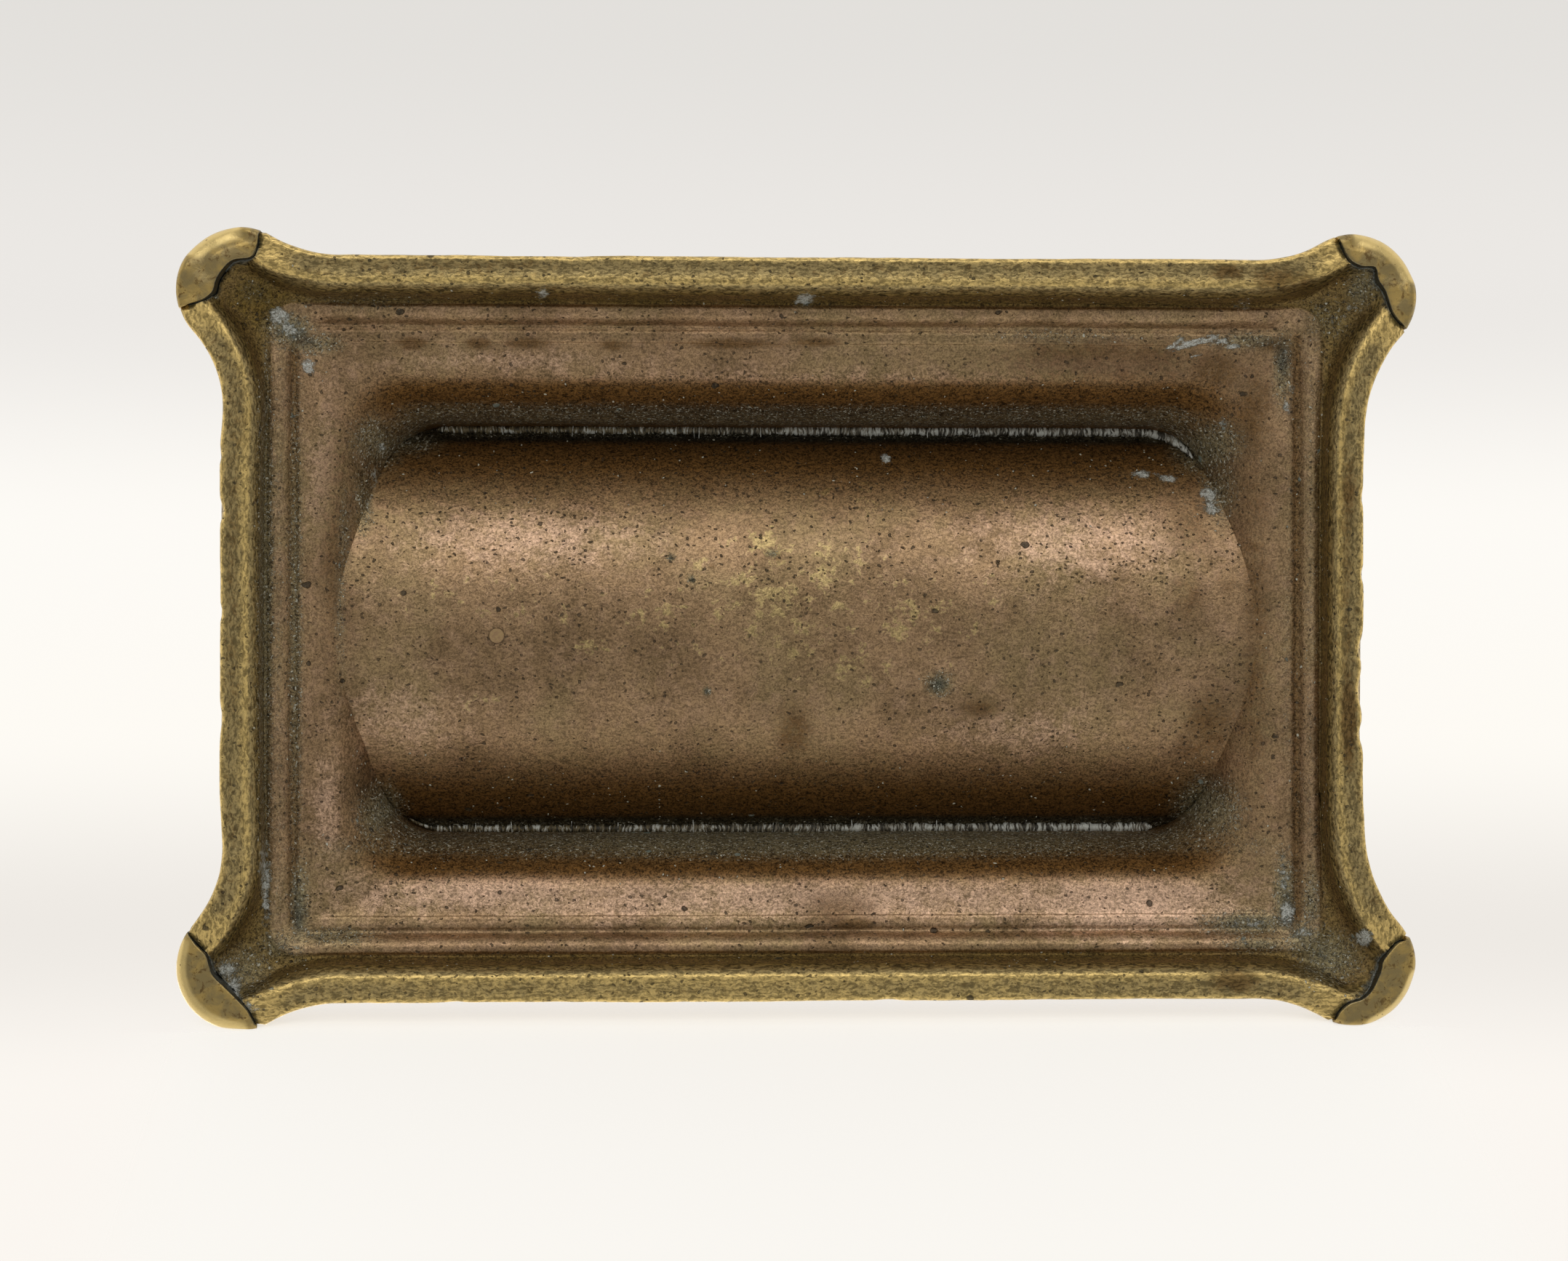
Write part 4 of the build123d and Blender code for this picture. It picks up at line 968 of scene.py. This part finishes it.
def evenly(bm, cell):
    """The same form with a point about every cell."""
    mesh = bpy.data.meshes.new("merged")
    bm.to_mesh(mesh)
    merged = bpy.data.objects.new("merged", mesh)
    bpy.context.scene.collection.objects.link(merged)
    remesh = merged.modifiers.new("even grid", "REMESH")
    remesh.mode = "VOXEL"
    remesh.voxel_size = cell
    made = bpy.data.meshes.new_from_object(merged.evaluated_get(bpy.context.evaluated_depsgraph_get()))
    bpy.data.objects.remove(merged)
    even = bmesh.new()
    even.from_mesh(made)
    return even


def handled(node, body, cell, softness, uneven):
    """A node's form with soft, marked edges."""
    merged = bmesh.new()
    merged.from_mesh(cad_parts[node].data)
    bmesh.ops.remove_doubles(merged, verts=merged.verts, dist=0.001 * mm)
    standing_out, in_corner = edge_places(merged)
    bm = evenly(merged, cell)
    merged.free()
    wear, grime, film = new_marks(bm, "wear", "grime", "film")
    low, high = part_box(node)
    for point in bm.verts:
        from_edge = standing_out.find(point.co)[2] / softness
        point[wear] = 1.05 * math.exp(-from_edge**2)
        place, _, from_corner = in_corner.find(point.co)
        if place:
            point[grime] = 0.8 * math.exp(-from_corner / (0.9 * mm))
            point[film] = 0.5 * math.exp(-from_corner / (1.5 * mm))
    bmesh.ops.smooth_vert(bm, verts=bm.verts, factor=0.25, use_axis_x=True, use_axis_y=True, use_axis_z=True)
    roughen(bm, uneven * mm, 9 * mm, 0.2 * uneven * mm, 1.6 * mm, seed=len(node))
    for point in bm.verts:
        point.co = [within(part, *limits) for part, *limits in zip(point.co, low, high)]
    return finish_mesh(bm, node + "_handled", body, node)


lid = handled("lid", "lid", 0.352 * mm, 0.5 * mm, 0.05)
dividers = [
    handled("divider_left", "case", 0.3 * mm, 0.4 * mm, 0.03),
    handled("divider_right", "case", 0.3 * mm, 0.4 * mm, 0.03),
]
hinge_leaves = [
    handled("hinge_leaf_body", "case", 0.25 * mm, 0.3 * mm, 0.0),
    handled("hinge_leaf_lid", "lid", 0.25 * mm, 0.3 * mm, 0.0),
]

# %% [markdown]
# Finishes are node materials made with a small helper, so that each one below reads like a recipe. Sizes are
# in millimetres. All patterns are read from Object coordinates, which here are the box's own frame, so a
# scratch runs on from one piece to the next and the finish stays in place when the lid turns. Numbers that
# change over the surface are amounts, which can be added and multiplied like any others: that makes a node.

# %% A helper for finishes
class Amount:
    """A number that changes over the surface."""

    def __init__(self, recipe, socket):
        self.recipe, self.socket = recipe, socket

    def __add__(self, other):
        return self.recipe.maths("ADD", self, other)

    def __sub__(self, other):
        return self.recipe.maths("SUBTRACT", self, other)

    def __rsub__(self, other):
        return self.recipe.maths("SUBTRACT", other, self)

    def __mul__(self, other):
        return self.recipe.maths("MULTIPLY", self, other)


class Recipe:
    """The nodes of a material or of the world, put together with short calls."""

    def __init__(self, owner, coordinates="Object"):
        owner.use_nodes = True
        self.owner = owner
        self.tree = owner.node_tree
        self.here = self.node("TexCoord").outputs[coordinates]

    def put(self, socket, value):
        """Fills an input with an amount, a node's first output, another output or a plain value."""
        if isinstance(value, Amount):
            value = value.socket
        if isinstance(value, bpy.types.Node):
            value = value.outputs[0]
        if isinstance(value, bpy.types.NodeSocket):
            self.tree.links.new(value, socket)
        else:
            socket.default_value = (*value, 1) if socket.type == "RGBA" else value

    def node(self, kind, inputs=None, **settings):
        """A new node, with its inputs filled in by name or number."""
        made = self.tree.nodes.new("ShaderNode" + kind)
        for name, value in settings.items():
            setattr(made, name, value)
        for name, value in (inputs or {}).items():
            self.put(made.inputs[name], value)
        return made

    def set(self, **inputs):
        """Fills in inputs of the material's shader. An underscore stands for a space."""
        for name, value in inputs.items():
            self.put(self.tree.nodes["Principled BSDF"].inputs[name.replace("_", " ")], value)

    def show(self, shader):
        """Makes this shader the one that is seen."""
        self.put(self.tree.get_output_node("ALL").inputs["Surface"], shader)

    def axes(self):
        """X, Y and Z, as three amounts."""
        return [Amount(self, output) for output in self.node("SeparateXYZ", {0: self.here}).outputs]

    def mark(self, name):
        """A mark that was left on the mesh."""
        return Amount(self, self.node("Attribute", attribute_name=name).outputs["Fac"])

    def maths(self, operation, *values):
        return Amount(self, self.node("Math", dict(enumerate(values)), operation=operation).outputs[0])

    def most(self, result, *others):
        """The largest of some amounts."""
        for other in others:
            result = self.maths("MAXIMUM", result, other)
        return result

    def step(self, value, low, high, bottom=0.0, top=1.0, curve="SMOOTHSTEP"):
        """bottom below low, top above high, and a smooth change between. low may be the larger one."""
        ends = {"From Min": low, "From Max": high, "To Min": bottom, "To Max": top}
        node = self.node("MapRange", {"Value": value, **ends}, interpolation_type=curve)
        return Amount(self, node.outputs["Result"])

    def placed(self, size, seed, stretch):
        """The place on a pattern with grains of that size. The seed only shifts the pattern."""
        shift = (0.37 * seed, 0.71 * seed, 0.13 * seed)
        scale = [1 / (size * mm * along) for along in stretch]
        return self.node("Mapping", {"Vector": self.here, "Location": shift, "Scale": scale})

    def pattern(self, size, seed, detail=2, stretch=(1, 1, 1), roughness=0.55):
        place = self.placed(size, seed, stretch)
        return self.node("TexNoise", {"Vector": place, "Scale": 1, "Detail": detail, "Roughness": roughness})

    def noise(self, *sizes, **details):
        """Clouds from 0 to 1."""
        return Amount(self, self.pattern(*sizes, **details).outputs["Fac"])

    def shake(self, size, amount):
        """From here on, noise bends the patterns, so that spots aren't round and streaks aren't straight."""
        bend = self.pattern(size, 77, detail=1, roughness=0.5).outputs["Color"]
        inputs = {0: bend, 1: (amount * mm, amount * mm, amount * mm), 2: self.here}
        self.here = self.node("VectorMath", inputs, operation="MULTIPLY_ADD").outputs["Vector"]

    def pits(self, size, seed, share, radius, stretch=(1, 1, 1)):
        """Spots of different sizes, a share of all cells having one. A radius of 1 fills a cell."""
        cells = self.node("TexVoronoi", {"Vector": self.placed(size, seed, stretch), "Scale": 1})
        chance = self.node("SeparateColor", {"Color": cells.outputs["Color"]}).outputs["Red"]
        own_radius = self.step(chance, 1 - share, 1, 0, radius)
        return self.step(own_radius - cells.outputs["Distance"], 0.0, 0.3 * radius)

    def blend(self, first, second, share):
        """The first colour, with a share of the second."""
        return self.node("Mix", {"Factor": share, 6: first, 7: second}, data_type="RGBA").outputs[2]

    def around(self, place, radius, width):
        """1 on a thin ring round the upright line through a place, and 0 off it."""
        flat = self.node("VectorMath", {0: self.here, 1: (1, 1, 0)}, operation="MULTIPLY")
        apart = self.node("VectorMath", {0: flat, 1: (place.x, place.y, 0)}, operation="DISTANCE")
        off = self.maths("ABSOLUTE", self.maths("SUBTRACT", apart.outputs["Value"], radius))
        return self.step(off, width, 0.3 * width)

    def relief(self, height, depth):
        """Bumps the shader's surface: height 1 stands depth millimetres out."""
        self.set(Normal=self.node("Bump", {"Distance": depth * mm, "Height": height}))


def new_recipe(name):
    return Recipe(bpy.data.materials.new(name))


def dress(finish, *pieces):
    """Gives pieces a finish, instead of any that they have."""
    for piece in pieces:
        piece.data.materials.clear()
        piece.data.materials.append(finish)
    print(finish.name, "has", len(finish.node_tree.nodes), "nodes and is on", len(pieces), "pieces")


brown = (0.35, 0.225, 0.122)
dark_brown = (0.225, 0.145, 0.075)
grime_brown = (0.105, 0.053, 0.016)
black_dirt_and_shade = (0.022, 0.019, 0.012)
worn_gold = (0.60, 0.43, 0.16)
rim_olive = (0.30, 0.225, 0.10)
pink_bronze = (0.47, 0.30, 0.195)
rubbed_copper_and_highlight = (0.62, 0.41, 0.28)
olive_gold = (0.49, 0.365, 0.16)
olive_bronze = (0.30, 0.215, 0.105)
cavity_olive = (0.118, 0.080, 0.017)
film_grey = (0.145, 0.124, 0.070)
teal_film = (0.055, 0.060, 0.045)
pale_dust = (0.52, 0.50, 0.40)
verdigris = (0.15, 0.20, 0.18)
pale_crust = (0.60, 0.61, 0.56)
crack_grey = (0.11, 0.115, 0.10)
brass = (0.46, 0.32, 0.11)
bright_brass = (0.80, 0.60, 0.25)
plug_tan = (0.40, 0.27, 0.135)
lead_grey = (0.24, 0.22, 0.18)

# %% [markdown]
# Old bronze is brown where nobody touches it, nearly black in the corners and creases, where dirt sits and
# where shade is painted in, and golden on worn edges. Corrosion leaves fine pits all over it, and a pale
# crust here and there. The marks on the meshes say where each of these is, and noise breaks their borders up.
# Every blend below lies over the ones before, so the order is the order in which the metal aged: its own
# colours, the rubbed places with a painted highlight, dirt with painted shade, film, pits, and crust last of
# all.

# %% The bronze
plug_low, plug_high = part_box("core_plug")
rim_level = (2.6 * mm, 1.4 * mm)  # heights over which the casting turns into its worn rim
cavity_level = (4.7 * mm, 4.0 * mm)  # heights over which the dirt and painted shade turn olive


def make_bronze():
    mix = new_recipe("aged bronze")
    _, _, above_table = mix.axes()
    plug_ring = mix.around((plug_low + plug_high) / 2, (plug_high.x - plug_low.x) / 2 + 0.05 * mm, 0.14 * mm)
    mix.shake(0.6, 0.5)
    clouds = mix.noise(7, 1, detail=6)
    tints = mix.noise(13, 12, detail=4)
    patches = mix.noise(1.6, 2, detail=6, roughness=0.65)
    speckle = mix.noise(0.3, 3, detail=3, roughness=0.75)
    crumbs = mix.noise(0.7, 4, detail=5, roughness=0.8)
    grit = mix.noise(0.17, 13, roughness=0.7)
    along_x = mix.noise(0.22, 7, stretch=(3.5, 1, 1))
    along_y = mix.noise(0.22, 9, stretch=(1, 3.5, 1))
    end = mix.mark("end")
    strokes = along_y * end + along_x * (1 - end)
    both = (patches + speckle) * 0.5
    blotches = patches * 0.65 + crumbs * 0.35

    colour = mix.blend(brown, dark_brown, mix.step(clouds, 0.36, 0.66))
    colour = mix.blend(colour, olive_bronze, mix.step(tints, 0.44, 0.62, 0.0, 0.6))
    colour = mix.blend(colour, pink_bronze, mix.step(patches, 0.42, 0.7) * 0.35)
    gold = mix.step(mix.mark("gold") * 0.38 + blotches, 0.67, 0.74)
    colour = mix.blend(colour, olive_gold, gold * 0.8)
    # Worn copper, and a painted highlight on the trough and on the lower band.
    colour = mix.blend(colour, rubbed_copper_and_highlight, mix.step(mix.mark("copper_and_highlight") * 0.5 + both, 0.6, 1.0))

    on_rim = mix.step(above_table, *rim_level)
    colour = mix.blend(colour, rim_olive, on_rim)
    spots = mix.step(mix.noise(0.6, 14, detail=3), 0.54, 0.68)
    colour = mix.blend(colour, grime_brown, spots * on_rim * 0.5)
    worn = mix.step(mix.mark("wear") + mix.mark("gold") * 0.3 + both, 0.7, 1.2)
    colour = mix.blend(colour, worn_gold, worn)

    # Dark stains, and along the back crease a painted shade.
    dark = mix.step(mix.mark("dark") * 0.55 + both, 0.68, 0.95)
    colour = mix.blend(colour, grime_brown, dark * 0.75)
    # Dirt, and painted shade in the recess, the cavity and up the trough's sides.
    dirt_and_shade = mix.step(mix.mark("grime") + both * 0.8, 0.5, 1.35)
    dirt_and_shade_colour = mix.blend(grime_brown, cavity_olive, mix.step(above_table, *cavity_level))
    colour = mix.blend(colour, dirt_and_shade_colour, dirt_and_shade)
    # Black in the deepest places along the creases: painted shade.
    crease = mix.step(mix.mark("grime") + speckle * 0.4, 1.3, 2.0)
    colour = mix.blend(colour, black_dirt_and_shade, crease * 0.9)
    film = mix.step(mix.mark("film") + (speckle + crumbs) * 0.5, 0.6, 1.45)
    film_colour = mix.blend(film_grey, teal_film, mix.step(mix.mark("dark"), 0.3, 0.9))
    colour = mix.blend(colour, film_colour, film * 0.9)

    crowded = mix.step(clouds, 0.4, 0.65, 0.25, 0.75) + mix.mark("pitted") * 0.8
    fine_pits = mix.pits(0.4, 5, crowded, 0.36, stretch=(1.3, 1, 1))
    large_pits = mix.pits(2.2, 6, 0.35, 0.15, stretch=(1.3, 1, 1))
    pits = mix.most(fine_pits * 0.85, large_pits)
    crack = mix.step(mix.mark("seam"), 0.93, 0.985)
    smudge = mix.step(mix.mark("seam") * 0.6 + blotches, 0.98, 1.16)
    colour = mix.blend(colour, crack_grey, smudge * 0.8)
    colour = mix.blend(colour, black_dirt_and_shade, mix.most(pits * 0.8, plug_ring * 0.35))
    colour = mix.blend(colour, crack_grey, crack)

    grain = speckle * 0.4 + grit * 0.4 + strokes * 0.2
    rim_grain = strokes * 0.7 + speckle * 0.3
    grain = mix.maths("MULTIPLY_ADD", on_rim, rim_grain - grain, grain)
    dull_place = mix.most(dirt_and_shade, film)
    brightness = mix.step(grain, 0.38, 0.62, 0.56 - dull_place * 0.32, dull_place + 1.42)
    metal = mix.node("HueSaturation", {"Color": colour, "Value": brightness})

    specks = mix.step(mix.noise(0.26, 15, roughness=0.8), 0.57, 0.64) * mix.step(film, 0.05, 0.5)
    sparkles = mix.pits(0.36, 8, (film + mix.mark("crust")) * 0.4 + dirt_and_shade * 0.1, 0.34)
    spots_of_crust = mix.pits(1.4, 16, film * 0.3, 0.26)
    crusted = mix.step(mix.mark("crust") * 0.66 + crumbs, 0.8, 1.02)
    flakes = mix.most(crusted * mix.step(grit, 0.38, 0.56, 0.5, 1.0), spots_of_crust * 0.7)
    crust = mix.most(flakes, sparkles, specks * 0.8)
    crust_colour = mix.blend(verdigris, pale_crust, mix.step(speckle + crusted * 0.3, 0.5, 0.8))
    crust_colour = mix.blend(pale_dust, crust_colour, mix.step(flakes, 0.1, 0.5))

    dull = mix.most(pits * 0.6, crack, crust, film * 0.4)
    rough = clouds * 0.3 + mix.most(dirt_and_shade, dull) * 0.6
    mix.set(Base_Color=mix.blend(metal, crust_colour, crust), Specular_IOR_Level=0.3)
    mix.set(Metallic=mix.step(dull, 0.1, 1, 0.92, 0.1), Roughness=mix.step(rough, 0.05, 0.8, 0.34, 0.66))
    mix.relief(patches * 0.5 + grain * 0.4 - pits + crust * 0.7, 0.12)
    return mix.owner


dress(make_bronze(), base_casting, stamp_trough, lid, *dividers)

# %% [markdown]
# The toes are yellower than the bronze and have been rubbed bright on their outer rounding, and their worn
# facets are painted paler still, as the highlight they catch. The plug has gone nearly as brown as the
# trough, and the hinge is plain brass. The solder is dull grey and flakes off in pale crumbs.

# %% Brass and solder
def make_toe_brass():
    mix = new_recipe("rubbed brass")
    mix.shake(1.5, 1.2)
    patches = mix.noise(1.5, 21, detail=4)
    speckle = mix.noise(0.3, 22, detail=3)
    scars = mix.noise(0.8, 25, detail=4, roughness=0.7)
    colour = mix.blend(brass, rim_olive, mix.step(patches, 0.36, 0.6))
    colour = mix.blend(colour, grime_brown, mix.step(scars + speckle * 0.3, 0.68, 0.82) * 0.7)
    # The worn facets are painted pale brass: wear, and a painted highlight on the facet.
    facet = mix.step(mix.mark("wear") + scars * 0.5, 0.6, 1.3)
    colour = mix.blend(colour, bright_brass, facet * 0.85)
    pits = mix.pits(0.7, 24, 0.3, 0.2)
    colour = mix.blend(colour, grime_brown, pits * 0.7)
    colour = mix.blend(colour, crack_grey, mix.step(mix.mark("grime") + speckle * 0.4, 0.7, 1.1))
    mix.set(Base_Color=colour, Metallic=0.95, Roughness=mix.step(scars, 0.3, 0.7, 0.26, 0.44))
    mix.relief((scars + speckle * 0.5) * 0.6 - pits, 0.06)
    return mix.owner


def make_plug_brass():
    mix = new_recipe("plug brass")
    speckle = mix.noise(0.3, 51, detail=3, roughness=0.7)
    colour = mix.blend(brown, plug_tan, mix.step(speckle, 0.4, 0.6))
    mix.set(Base_Color=colour, Metallic=0.9, Roughness=0.45)
    mix.relief(speckle, 0.04)
    return mix.owner


def make_hinge_brass():
    mix = new_recipe("hinge brass")
    patches = mix.noise(3.0, 31, detail=5)
    speckle = mix.noise(0.3, 32, detail=3)
    colour = mix.blend(brass, olive_gold, mix.step(patches, 0.3, 0.65))
    colour = mix.blend(colour, dark_brown, mix.step(patches, 0.55, 0.75) * 0.7)
    worn = mix.step(mix.mark("wear") + patches * 0.6, 0.7, 1.2)
    colour = mix.blend(colour, bright_brass, worn * 0.7)
    colour = mix.blend(colour, grime_brown, mix.step(mix.mark("grime") + speckle, 0.7, 1.3))
    mix.set(Base_Color=colour, Metallic=0.95, Roughness=mix.step(patches, 0.3, 0.75, 0.3, 0.5))
    mix.relief(patches + speckle, 0.03)
    return mix.owner


def make_solder():
    mix = new_recipe("old solder")
    mix.shake(0.9, 0.5)
    lumps = mix.noise(1.6, 41, detail=4)
    crimps = mix.noise(0.2, 42, detail=3, stretch=(1, 5, 5))
    pale = mix.mark("pale")
    colour = mix.blend(lead_grey, cavity_olive, mix.step(lumps - pale, -0.2, 0.7, 0.3, 0.9))
    colour = mix.blend(colour, black_dirt_and_shade, mix.step(crimps, 0.52, 0.4, 0, 0.9))
    flakes = mix.step(crimps * 0.8 + lumps * 0.4 + pale * 0.09, 0.62, 0.74)
    colour = mix.blend(colour, pale_crust, flakes * 0.9)
    mix.set(Base_Color=colour, Metallic=0.35, Roughness=mix.step(crimps, 0.3, 0.7, 0.45, 0.7))
    mix.relief(crimps, 0.14)
    return mix.owner


packed_brass = [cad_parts[name] for name in ("hinge_pin", "hinge_screws_body", "hinge_screws_lid")]
dress(make_toe_brass(), *toes)
dress(make_hinge_brass(), *hinge_leaves, *packed_brass)
dress(make_plug_brass(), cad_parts["core_plug"])
dress(make_solder(), *solder_seams)

# %% [markdown]
# The photograph was taken in soft, even light, with one broad light above and in front of the box: its
# reflection is the pale stripe along the trough, which a pink copper tone on the trough also paints in. So
# the world is a plain pale grey and one large lamp stands up there. A second one, above the lid, is for
# looking at the box the right way up. The camera and the metal's reflections see a white backdrop instead of
# the grey world, except far below the table's level, which no camera sees. There, where the photographer
# stood, the room is as dim as the world. Straight above the photograph's camera the backdrop gets greyer
# upwards, and has a faint painted shadow of the box where the wall meets the floor.

# %% Lamps and backdrop
ambient = 0.52
table_light = 0.85  # what the white table, along -Y in the photograph, throws back
backdrop = (  # height in the photograph's view, as a direction, and colour
    (-0.145, (0.965, 0.925, 0.875)),
    (-0.0925, (0.855, 0.82, 0.775)),  # painted shadow of the box, where it stands
    (-0.03, (0.99, 0.96, 0.905)),
    (0.03, (0.985, 0.96, 0.915)),
    (0.105, (0.835, 0.81, 0.78)),
    (0.20, (0.765, 0.745, 0.715)),
)
backdrop_white = (0.98, 0.975, 0.94)  # behind every other view
light_white = (1.0, 0.985, 0.95)
overhead = (0.7, 0.9)  # how far up a direction points where the photograph's own backdrop takes over
above_room = (-0.35, -0.05)  # and where the white backdrop takes over from the dim room
at_table = (-0.55, -0.9)  # how far along -Y it points where the table takes over


def area_lamp(name, towards, distance, width, height, radiance):
    """A lamp that shines on the box from that direction, as bright in the mirror as radiance says."""
    data = bpy.data.lights.new(name, "AREA")
    data.shape = "RECTANGLE"
    data.size = width
    data.size_y = height
    data.energy = radiance * math.pi * width * height
    lamp = bpy.data.objects.new(name, data)
    bpy.context.scene.collection.objects.link(lamp)
    look_at(lamp, Vector(towards).normalized() * distance, Vector((0, 0, 0.01)), up=Vector((0, 0.6, 0.8)))
    lamp.visible_camera = False
    print(name, "gives", round(data.energy, 2), "W")


area_lamp("key lamp", (0, 0.69, -0.72), 0.7, 0.81, 0.375, 1.15)
area_lamp("top lamp", (0.3, -0.42, 0.86), 0.7, 0.6, 0.4, 1.1)

world = bpy.data.worlds.new("studio")
bpy.context.scene.world = world
sky = Recipe(world, "Generated")
_, along_y, upwards = sky.axes()
lowest, highest = backdrop[0][0], backdrop[-1][0]
shades = sky.node("ValToRGB", {"Fac": sky.step(along_y, lowest, highest, curve="LINEAR")})
shades.color_ramp.interpolation = "EASE"
stops = shades.color_ramp.elements
stops.remove(stops[-1])
for number, (place, colour) in enumerate(backdrop):
    stop = stops.new((place - lowest) / (highest - lowest)) if number else stops[0]
    stop.color = (*colour, 1)
behind = sky.blend(backdrop_white, shades, sky.step(upwards, *overhead, curve="LINEAR"))
from_table = sky.step(along_y, *at_table, ambient, table_light, curve="LINEAR")
from_room = sky.step(upwards, *above_room, ambient, 1.0, curve="LINEAR")
rays = sky.node("LightPath").outputs
seen = sky.most(rays["Is Camera Ray"], rays["Is Glossy Ray"], rays["Is Transmission Ray"])
to_object = sky.node("Background", {"Color": light_white, "Strength": from_table})
to_camera = sky.node("Background", {"Color": behind, "Strength": sky.most(from_room, from_table)})
sky.show(sky.node("MixShader", {0: seen, 1: to_object, 2: to_camera}))
print("the backdrop fades through", len(stops), "shades")

# %% [markdown]
# Pale floors catch the shadows. In the photograph the box stands on its long front side, so a shelf runs
# along there, a little tilted, and a short end of it fades out behind the foot. The table under the toes is
# seen only from above. All are seen by the camera alone, so they take no light from the box.

# %% Floors
paper_glow = (1.0, 0.975, 0.93)
shelf_place, shelf_slope = -36, 0.338  # the shelf's Y at the toes, in millimetres, and its tilt
table_half = 2000


def pale_paper(name, white, glow, *fades, far=None):
    """Matt paper, clear from behind and beyond the fades, and like the backdrop where it is far away.

    A fade is a part of the place, its start and its end. far is a start and an end too.
    """
    mix = new_recipe(name)
    x, _, z = mix.axes()
    matt = mix.node("BsdfDiffuse", {"Color": (white, 0.99 * white, 0.965 * white)})
    light = mix.node("Emission", {"Color": paper_glow, "Strength": glow})
    paper = mix.node("AddShader", {0: matt, 1: light})
    if far:
        away = mix.node("VectorMath", {0: mix.here}, operation="LENGTH").outputs["Value"]
        distant = mix.node("Emission", {"Color": backdrop_white})
        paper = mix.node("MixShader", {0: mix.step(away, *far), 1: paper, 2: distant})
    parts = {"X": mix.maths("ABSOLUTE", x), "Z": z}
    faded = mix.node("NewGeometry").outputs["Backfacing"]
    for part, start, stop in fades:
        faded = mix.most(faded, mix.step(parts[part], start, stop))
    mix.show(mix.node("MixShader", {0: faded, 1: paper, 2: mix.node("BsdfTransparent")}))
    return mix.owner


def floor(name, corners, paper):
    """A floor of one square, with its corners given in millimetres."""
    bm = bmesh.new()
    bmesh.ops.create_grid(bm, x_segments=1, y_segments=1, size=1)
    for point, corner in zip(sorted(bm.verts, key=lambda point: (point.co.y, point.co.x)), corners):
        point.co = Vector(corner) * mm
    mesh = bpy.data.meshes.new(name)
    bm.to_mesh(mesh)
    bm.free()
    mesh.materials.append(paper)
    made = bpy.data.objects.new(name, mesh)
    bpy.context.scene.collection.objects.link(made)
    for kind in ("shadow", "diffuse", "glossy", "transmission"):
        setattr(made, "visible_" + kind, False)
    print(name, "runs from", corners[0], "to", corners[-1], "mm")


def tilted(low, high):
    """Corners of a stretch of the shelf, between two heights."""
    return [(x, shelf_place + shelf_slope * z, z) for z in (low, high) for x in (90, -90)]


floor("shelf", tilted(-60, 0), pale_paper("shelf paper", 0.5, 0.635, ("X", 0.048, 0.062)))
floor("shelf end", tilted(0, 14),
      pale_paper("shelf end paper", 0.5, 0.635, ("Z", 0.0, 0.009), ("X", 0.048, 0.057)))
floor("table", [(x, y, 0) for y in (-table_half, table_half) for x in (-table_half, table_half)],
      pale_paper("table paper", 0.9, 0.2, far=(0.2, 0.6)))
